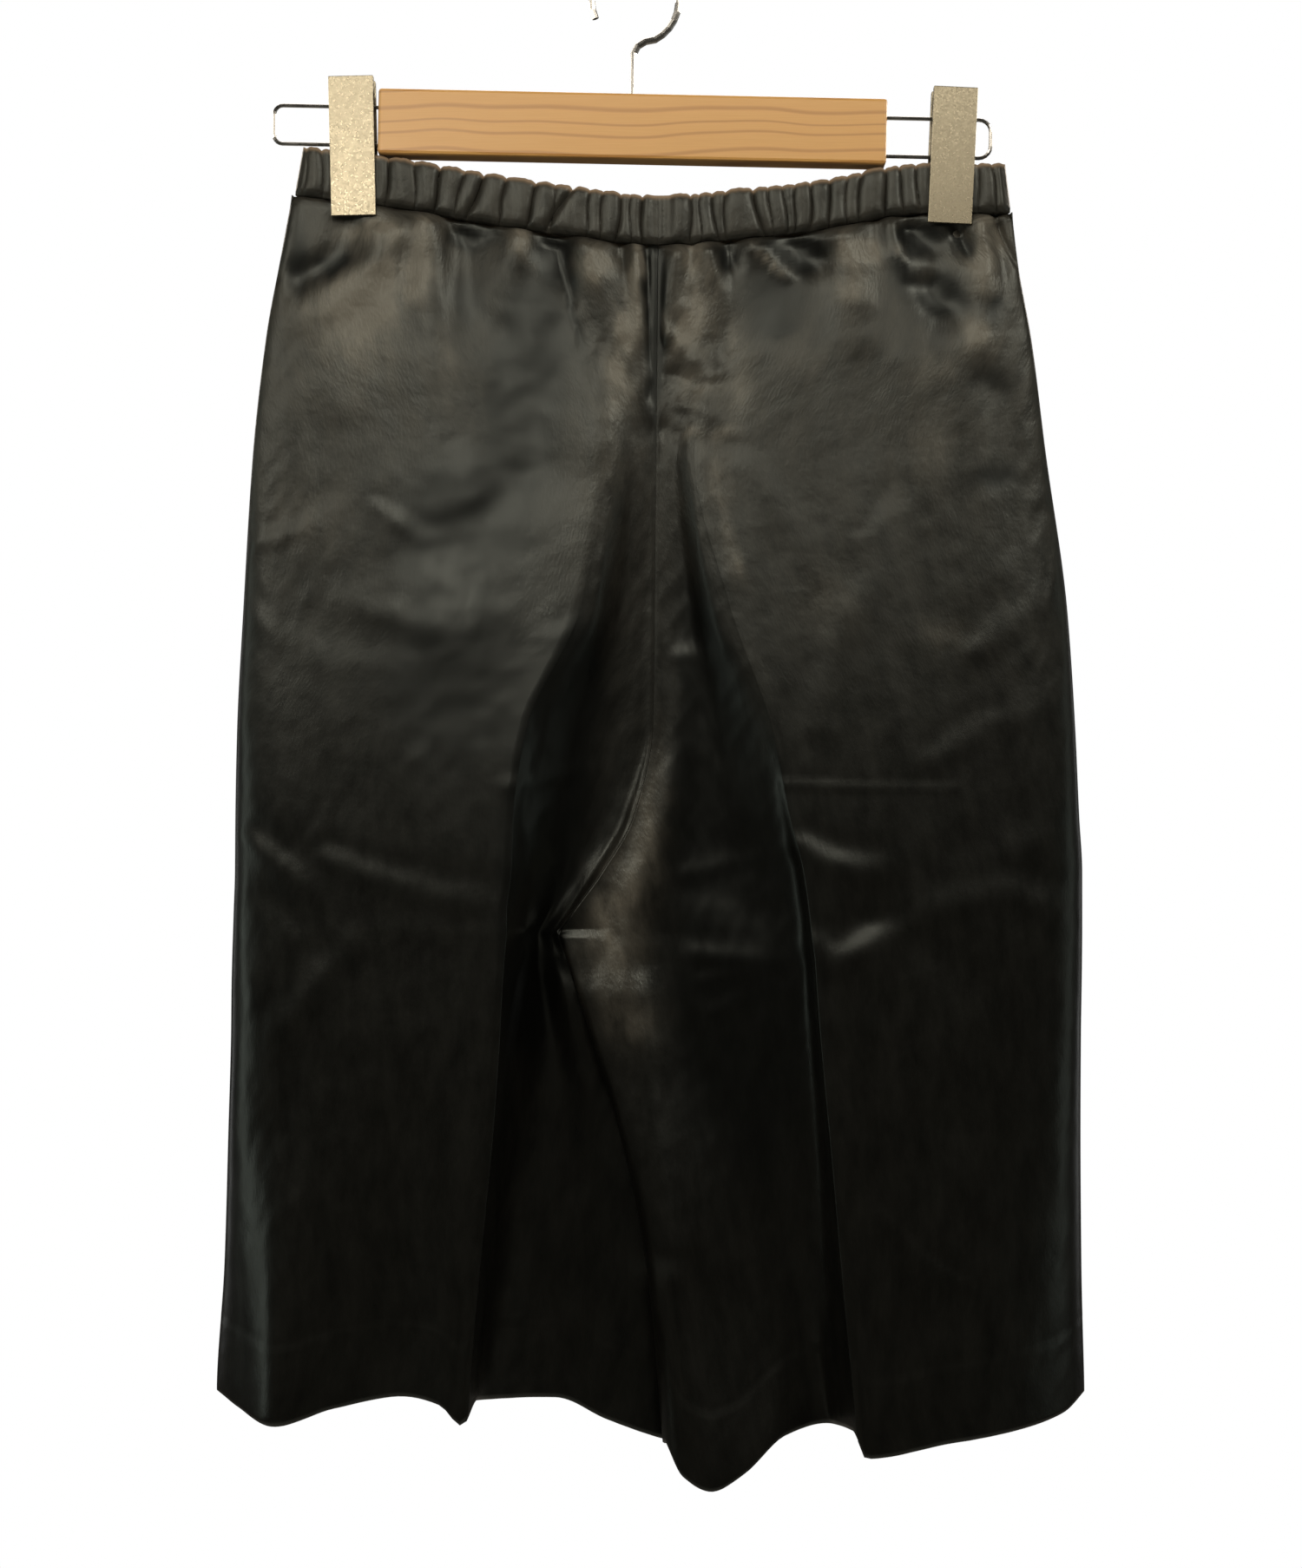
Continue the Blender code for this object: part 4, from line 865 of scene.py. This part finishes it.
def node(tree, kind, settings=None, **links):
    """Adds a shader node with its own settings and what feeds its inputs."""
    made = tree.nodes.new("ShaderNode" + kind)
    for key, value in (settings or {}).items():
        setattr(made, key, value)
    wire(tree, made, links)
    return made


PLUS = {"operation": "ADD"}
MINUS = {"operation": "SUBTRACT"}
TIMES = {"operation": "MULTIPLY"}
TIMES_PLUS = {"operation": "MULTIPLY_ADD"}
SINE = {"operation": "SINE"}
COLOURS = {"data_type": "RGBA"}  # of a Mix node: its inputs 6 and 7 and its output 2


def new_material(name, colour, roughness, metallic=0.0):
    made = bpy.data.materials.new(name)
    made.use_nodes = True
    tree = made.node_tree
    shader = tree.nodes["Principled BSDF"]
    wire(tree, shader, {"Base Color": colour, "Roughness": roughness, "Metallic": metallic})
    return made, tree, shader


def black_satin(looks):
    """Polyester satin: long floats lie along the cloth and give a soft, warm, mottled sheen, partly
    as painted sheen in its colour.
    """
    made, tree, shader = new_material("polyester_satin", linear(looks.satin), looks.satin_roughness)
    cloth = node(tree, "UVMap", {"uv_map": "cloth"})
    # The painted sheen and crinkle level, and the painted highlight along the waistband's top edge
    crush_and_painted_sheen_at = node(tree, "Attribute", {"attribute_name": "crushed"}).outputs["Fac"]
    painted_edge_highlight_at = node(tree, "Attribute", {"attribute_name": "rubbed"}).outputs["Fac"]
    # The floats run down the cloth: streaks 1.2 mm wide and 20 mm long
    streak_at = node(tree, "Mapping", Vector=cloth, Scale=(830.0, 50.0, 1.0))
    streak = node(tree, "TexNoise", Vector=streak_at, Scale=1.0, Detail=3.0)
    # Crinkle left by wear, about 6 mm from fold to fold
    crinkle = node(tree, "TexNoise", Vector=cloth, Scale=170.0, Detail=2.0, Roughness=0.5)
    # Lifted floats catch the light as flecks: 1 by 3 mm here, coarser than real so that they show
    fleck_at = node(
        tree, "Mapping", Vector=cloth, Rotation=(0.0, 0.0, 0.35), Scale=(950.0, 330.0, 1.0)
    )
    fleck = node(tree, "TexNoise", Vector=fleck_at, Scale=1.0, Detail=3.0)
    # Blotches of flattened and raised floats, about 10 mm wide and 30 mm long
    blotch_at = node(tree, "Mapping", Vector=cloth, Scale=(95.0, 34.0, 1.0))
    blotch = node(tree, "TexNoise", Vector=blotch_at, Scale=1.0, Detail=6.0, Roughness=0.66)
    # Wear has dulled the top: its shine spreads wider there than down the legs
    down = node(tree, "SeparateXYZ", Vector=cloth).outputs[1]
    worn = node(tree, "MapRange", Value=down, From_Min=0.06, From_Max=0.34)
    wire(tree, worn, {"To Min": looks.satin_roughness + 0.1, "To Max": looks.satin_roughness})
    spread = node(tree, "Math", TIMES_PLUS, _0=blotch, _1=0.2, _2=worn)
    level = node(tree, "Math", MINUS, _0=spread, _1=0.1)
    # Painted sheen: where its level is high the satin is painted browner and lighter, standing in
    # for the shine it would catch
    uneven = node(tree, "MapRange", Value=blotch, From_Min=0.32, From_Max=0.68)
    wire(tree, uneven, {"To Min": 0.45, "To Max": 1.55})
    sheen_blotched = node(tree, "Math", TIMES, _0=uneven, _1=crush_and_painted_sheen_at)
    painted_sheen_share = node(tree, "Math", TIMES, _0=sheen_blotched, _1=crush_and_painted_sheen_at)
    ends = {"_6": linear(looks.satin), "_7": linear(looks.satin_painted_sheen)}
    tint = node(tree, "Mix", COLOURS, Factor=painted_sheen_share, **ends).outputs[2]
    # A painted highlight: the gathered top edge is painted a dusty brown, standing in for the light
    # it catches from above
    edge = node(tree, "Mix", COLOURS, Factor=painted_edge_highlight_at, _6=tint, _7=linear(looks.satin_painted_edge_highlight))
    # Crinkle and flecks show where the crinkle and painted sheen level is high
    bump = node(tree, "Bump", Strength=0.4, Distance=0.00004, Height=streak)
    for texture, strength, distance in ((crinkle, 0.7, 0.0006), (fleck, 0.8, 0.00034)):
        faded = node(tree, "Math", TIMES, _0=texture, _1=crush_and_painted_sheen_at)
        bump = node(tree, "Bump", Strength=strength, Distance=distance, Height=faded, Normal=bump)
    wire(tree, shader, {"Base Color": edge.outputs[2], "Roughness": level, "Normal": bump})
    wire(tree, shader, {"Specular IOR Level": 0.5, "Specular Tint": (0.91, 1.0, 0.94, 1.0)})
    return made


def satin():
    return bpy.data.materials.get("polyester_satin") or black_satin(bpy.context.scene.shorts_looks)


def lacquered_beech(looks):
    """Clear-lacquered beech: pale orange wood with a few long, wavy, browner growth lines."""
    made, tree, shader = new_material("lacquered_beech", linear(looks.wood), 0.36)
    place = node(tree, "TexCoord").outputs["Object"]
    at = node(tree, "Mapping", Vector=place, Location=(0.0, 0.0, 0.0774))
    # Slow waves bend the growth lines by up to 12 mm along the bar
    drift = node(tree, "TexNoise", Vector=at, Scale=9.0, Detail=1.5)
    drift_up = node(tree, "Math", TIMES_PLUS, _0=drift, _1=0.024, _2=-0.012)
    up = node(tree, "SeparateXYZ", Vector=at).outputs[2]
    height = node(tree, "Math", PLUS, _0=up, _1=drift_up)
    # Growth lines about 6 mm apart, which a slower wave spaces unevenly
    phase = node(tree, "Math", TIMES, _0=height, _1=1050.0)
    slow = node(tree, "Math", TIMES, _0=height, _1=370.0)
    slow_wave = node(tree, "Math", SINE, _0=slow)
    uneven = node(tree, "Math", PLUS, _0=phase, _1=slow_wave)
    wave = node(tree, "Math", SINE, _0=uneven)
    line = node(tree, "MapRange", Value=wave, From_Min=0.62, From_Max=1.0, To_Min=0.0, To_Max=0.5)
    # Fine fibre streaks, 0.4 mm wide and 20 mm long
    fibre_at = node(tree, "Mapping", Vector=place, Scale=(50.0, 900.0, 2400.0))
    fibre = node(tree, "TexNoise", Vector=fibre_at, Scale=1.0, Detail=4.0)
    ends = {"_6": linear(looks.wood_dark), "_7": linear(looks.wood)}
    base = node(tree, "Mix", COLOURS, Factor=fibre, **ends).outputs[2]
    grained = node(tree, "Mix", COLOURS, Factor=line, _6=base, _7=linear(looks.wood_line))
    bump = node(tree, "Bump", Strength=0.12, Distance=0.0002, Height=fibre)
    wire(tree, shader, {"Base Color": grained.outputs[2], "Normal": bump})
    wire(tree, shader, {"Coat Weight": 0.25, "Coat Roughness": 0.22})
    return made


def satin_nickel(looks):
    """Satin nickel on pressed steel: warm grey, mottled with fine bright spangles."""
    made, tree, shader = new_material("satin_nickel_plate", linear(looks.nickel), 0.34, 1.0)
    place = node(tree, "TexCoord").outputs["Object"]
    # Spangles about 0.8 mm across
    grain = node(tree, "TexVoronoi", Vector=place, Scale=1300.0).outputs["Color"]
    cloud = node(tree, "TexNoise", Vector=place, Scale=1100.0, Detail=4.0, Roughness=0.6)
    ends = {"_6": linear(looks.nickel_dark), "_7": linear(looks.nickel)}
    tone = node(tree, "Mix", COLOURS, Factor=cloud, **ends)
    rough = node(tree, "MapRange", Value=grain, From_Min=0.0, From_Max=1.0, To_Min=0.24, To_Max=0.4)
    bump = node(tree, "Bump", Strength=0.35, Distance=0.00003, Height=cloud)
    wire(tree, shader, {"Base Color": tone.outputs[2], "Roughness": rough, "Normal": bump})
    return made


def chromed_steel(looks):
    """Chromium plate on drawn wire, dulled by handling: a soft grey mirror."""
    made, tree, shader = new_material("chromed_steel", linear(looks.chrome), 0.26, 1.0)
    place = node(tree, "TexCoord").outputs["Object"]
    # Smears a few millimetres across
    smear = node(tree, "TexNoise", Vector=place, Scale=160.0, Detail=3.0)
    rough = node(tree, "MapRange", Value=smear, From_Min=0.3, From_Max=0.7, To_Min=0.2, To_Max=0.32)
    wire(tree, shader, {"Roughness": rough})
    return made


class ShortsSizes(bpy.types.PropertyGroup):
    """Sizes that a user would change."""

    cloth_wall: bpy.props.FloatProperty(
        name="Cloth wall", description="Thickness of the satin", default=0.6 * MM, unit="LENGTH"
    )
    band_wall: bpy.props.FloatProperty(
        name="Waistband wall",
        description="Thickness of one face of the casing",
        default=0.8 * MM,
        unit="LENGTH",
    )
    puff: bpy.props.FloatProperty(
        name="Waistband puff",
        description="How far the gathers stand between their grooves",
        default=2.0 * MM,
        unit="LENGTH",
    )


def colour(name, what, default):
    about = f"sRGB hex colour of {what}"
    return bpy.props.StringProperty(name=name, description=about, default=default)


class ShortsLooks(bpy.types.PropertyGroup):
    """Colours and finishes that a user would change."""

    satin: colour("Satin", "the satin", "#060605")
    # The colour of the painted sheen
    satin_painted_sheen: colour("Worn satin", "the satin where it is crushed", "#68655b")
    # The colour of the painted highlight along the waistband's top edge
    satin_painted_edge_highlight: colour("Rubbed edge", "the waistband's top edge", "#a8937a")
    satin_roughness: bpy.props.FloatProperty(
        name="Satin roughness",
        description="How widely the satin spreads its shine",
        default=0.31,
        min=0.0,
        max=1.0,
        subtype="FACTOR",
    )
    wood: colour("Wood", "the beech", "#e4b56e")
    wood_dark: colour("Wood fibre", "the beech's darker fibre", "#d8a35a")
    wood_line: colour("Growth line", "the beech's growth lines", "#a86f38")
    nickel: colour("Nickel", "the clips", "#a39d89")
    nickel_dark: colour("Dark nickel", "the clips' mottling", "#77715f")
    chrome: colour("Chrome", "the wires and the hook", "#b9b9b5")


class SHORTS_OT_panels(bpy.types.Operator):
    """Make the four leg panels with their pressed creases, gathers and wrinkles"""

    bl_idname = "shorts.panels"
    bl_label = "Leg panels"

    def execute(self, context):
        wall = context.scene.shorts_sizes.cloth_wall / MM
        for side in LEGS:
            for face in FACING:
                points, crush_and_painted_sheen_level = shape_panel(side, face)
                # The painted sheen and crinkle level, with a level of its own inside the hem
                marks = np.full(points.shape[:2], CRUSH_PAINTED_SHEEN_INSIDE)
                marks[: len(crush_and_painted_sheen_level)] = crush_and_painted_sheen_level
                outward = FACING[face] * OUTWARD[side]
                piece = add_cloth(f"{side}_leg_{face}", points, {"crushed": marks}, outward, wall)
                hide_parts(f"{face}_{side}")
        return {"FINISHED"}


class SHORTS_OT_waistband(bpy.types.Operator):
    """Make the gathered elastic casing in its four quarters"""

    bl_idname = "shorts.waistband"
    bl_label = "Waistband"

    def execute(self, context):
        sizes = context.scene.shorts_sizes
        for side in LEGS:
            for face in FACING:
                points = shape_band(side, face, sizes.puff / MM)
                # A painted highlight on the top rows, and the painted sheen and crinkle level all
                # over
                rubbed = np.zeros(points.shape[:2])
                rubbed[: len(PAINTED_EDGE_HIGHLIGHT_ROWS)] = np.array(PAINTED_EDGE_HIGHLIGHT_ROWS)[:, None]
                crush_and_painted_sheen_level = np.full(points.shape[:2], CRUSH_PAINTED_SHEEN_BAND)
                marks = {"rubbed": rubbed, "crushed": crush_and_painted_sheen_level}
                outward = FACING[face] * OUTWARD[side]
                wall = sizes.band_wall / MM
                piece = add_cloth(f"{side}_band_{face}", points, marks, outward, wall)
                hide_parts(f"waistband_{face}_{side}")
        return {"FINISHED"}


class SHORTS_OT_hanger(bpy.types.Operator):
    """Finish the wooden bar, the wire loops, the hook and the clips"""

    bl_idname = "shorts.hanger"
    bl_label = "Hanger"

    def execute(self, context):
        looks = context.scene.shorts_looks
        clips = [f"clip_{part}_{side}" for side in LEGS for part in ("front", "back", "saddle")]
        finishes = (
            (lacquered_beech(looks), ["hanger_bar"]),
            (satin_nickel(looks), clips),
            (chromed_steel(looks), ["hook", "rail_loop_left", "rail_loop_right"]),
        )
        for finish, names in finishes:
            for name in names:
                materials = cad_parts[name].data.materials
                materials.clear()
                materials.append(finish)
        return {"FINISHED"}


Softbox = namedtuple("Softbox", "name place aim size power tint")
MIDDLE = (0.0, 0.0, -0.3)
LOW = (0.0, 0.0, -0.4)
SOFTBOXES = table(
    Softbox,
    (
        ("key", (-0.95, -0.8, 0.12), MIDDLE, (0.5, 0.2), 2.2, "#fff3e4"),
        ("key_middle", (-0.02, -0.8, 0.21), MIDDLE, (0.9, 0.2), 2.0, "#fff3e4"),
        ("spot", (-0.24, -0.8, 0.05), (-0.13, 0.0, -0.14), (0.1, 0.08), 0.6, "#fff3e4"),
        ("key_right", (0.95, -0.8, 0.45), MIDDLE, (0.4, 0.3), 5.32, "#fff4e6"),
        ("crown", (-0.3, -0.8, 0.6), MIDDLE, (0.6, 0.2), 1.96, "#fff4e6"),
        ("rim_left", (-1.2, -0.15, -0.35), LOW, (0.2, 0.9), 0.91, "#f8fff4"),
        ("rim_right", (1.2, -0.15, -0.35), LOW, (0.2, 0.9), 0.38, "#f8fff4"),
        ("edge_left", (-1.1, 0.6, -0.35), LOW, (0.2, 0.9), 0.5, "#ffffff"),
        ("edge_right", (1.1, 0.6, -0.35), LOW, (0.2, 0.9), 0.5, "#ffffff"),
        ("back_left", (-0.9, 0.95, 0.2), MIDDLE, (0.5, 0.3), 3.4, "#fff3e4"),
        ("back_right", (0.9, 0.95, 0.3), MIDDLE, (0.5, 0.3), 3.4, "#fff3e4"),
        ("back_top", (0.0, 0.95, 0.5), MIDDLE, (0.9, 0.3), 2.8, "#fff4e6"),
    ),
)


def add_softbox(box):
    lamp = bpy.data.lights.new(box.name, "AREA")
    lamp.shape = "RECTANGLE"
    lamp.size, lamp.size_y = box.size
    lamp.energy = box.power
    lamp.color = linear(box.tint)[:3]
    thing = bpy.data.objects.new(box.name, lamp)
    thing.location = box.place
    aim = Vector(box.aim) - Vector(box.place)
    thing.rotation_euler = aim.to_track_quat("-Z", "Y").to_euler()
    thing.visible_camera = False
    bpy.context.scene.collection.objects.link(thing)


def add_camera(scene):
    """The camera at the eye that the tables were read from."""
    lens = bpy.data.cameras.new("camera")
    lens.lens = SENSOR * EYE_DISTANCE / VIEW_HEIGHT
    lens.sensor_width = SENSOR
    lens.sensor_fit = "AUTO"
    camera = bpy.data.objects.new("camera", lens)
    camera.location = (MIDDLE_X * MM, -EYE_DISTANCE * MM, -EYE_DOWN * MM)
    camera.rotation_euler = (math.pi / 2, 0.0, 0.0)
    scene.collection.objects.link(camera)
    scene.camera = camera


def add_world(scene):
    """White behind the object, as in the photograph, but dim as a light."""
    world = bpy.data.worlds.new("studio")
    scene.world = world
    world.use_nodes = True
    tree = world.node_tree
    tree.nodes.clear()
    seen = node(tree, "LightPath").outputs["Is Camera Ray"]
    dim = node(tree, "Background", Color=linear("#fff6e6"), Strength=0.035)
    pale = node(tree, "Background", Color=(1.0, 1.0, 1.0, 1.0), Strength=1.0)
    pick = node(tree, "MixShader", _0=seen, _1=dim, _2=pale)
    node(tree, "OutputWorld", Surface=pick)
    scene.view_settings.view_transform = "Standard"


class SHORTS_OT_stage(bpy.types.Operator):
    """Set up the camera, the pale surroundings and the soft studio light"""

    bl_idname = "shorts.stage"
    bl_label = "Stage"

    def execute(self, context):
        add_camera(context.scene)
        add_world(context.scene)
        for box in SOFTBOXES:
            add_softbox(box)
        select_only(context.scene.camera)
        bpy.ops.mesh.primitive_plane_add(size=3.4, location=(0.0, 0.0, -1.4))
        floor = context.active_object
        floor.name = "floor"
        floor.data.materials.append(new_material("pale_floor", linear("#ecebe8"), 0.9)[0])
        floor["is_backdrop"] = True
        return {"FINISHED"}


class SHORTS_PT_sidebar(bpy.types.Panel):
    """Lists the steps and their settings in the 3D view's sidebar"""

    bl_idname = "SHORTS_PT_sidebar"
    bl_label = "Satin shorts"
    bl_space_type = "VIEW_3D"
    bl_region_type = "UI"
    bl_category = "Shorts"

    def draw(self, context):
        for group in (context.scene.shorts_sizes, context.scene.shorts_looks):
            for name in group.__annotations__:
                self.layout.prop(group, name)
        for step in STEPS:
            self.layout.operator(step.bl_idname)


STEPS = (SHORTS_OT_panels, SHORTS_OT_waistband, SHORTS_OT_hanger, SHORTS_OT_stage)
CLASSES = (ShortsSizes, ShortsLooks, *STEPS, SHORTS_PT_sidebar)


def register():
    for each in CLASSES:
        bpy.utils.register_class(each)
    bpy.types.Scene.shorts_sizes = bpy.props.PointerProperty(type=ShortsSizes)
    bpy.types.Scene.shorts_looks = bpy.props.PointerProperty(type=ShortsLooks)


def unregister():
    del bpy.types.Scene.shorts_looks
    del bpy.types.Scene.shorts_sizes
    for each in reversed(CLASSES):
        bpy.utils.unregister_class(each)


def main():
    register()
    bpy.ops.shorts.panels()
    bpy.ops.shorts.waistband()
    bpy.ops.shorts.hanger()
    bpy.ops.shorts.stage()
    boxes = {"cad": CAD_BOX, "visual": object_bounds()}
    boxes = {key: [list(corner) for corner in box] for key, box in boxes.items()}


if __name__ == "__main__":
    main()
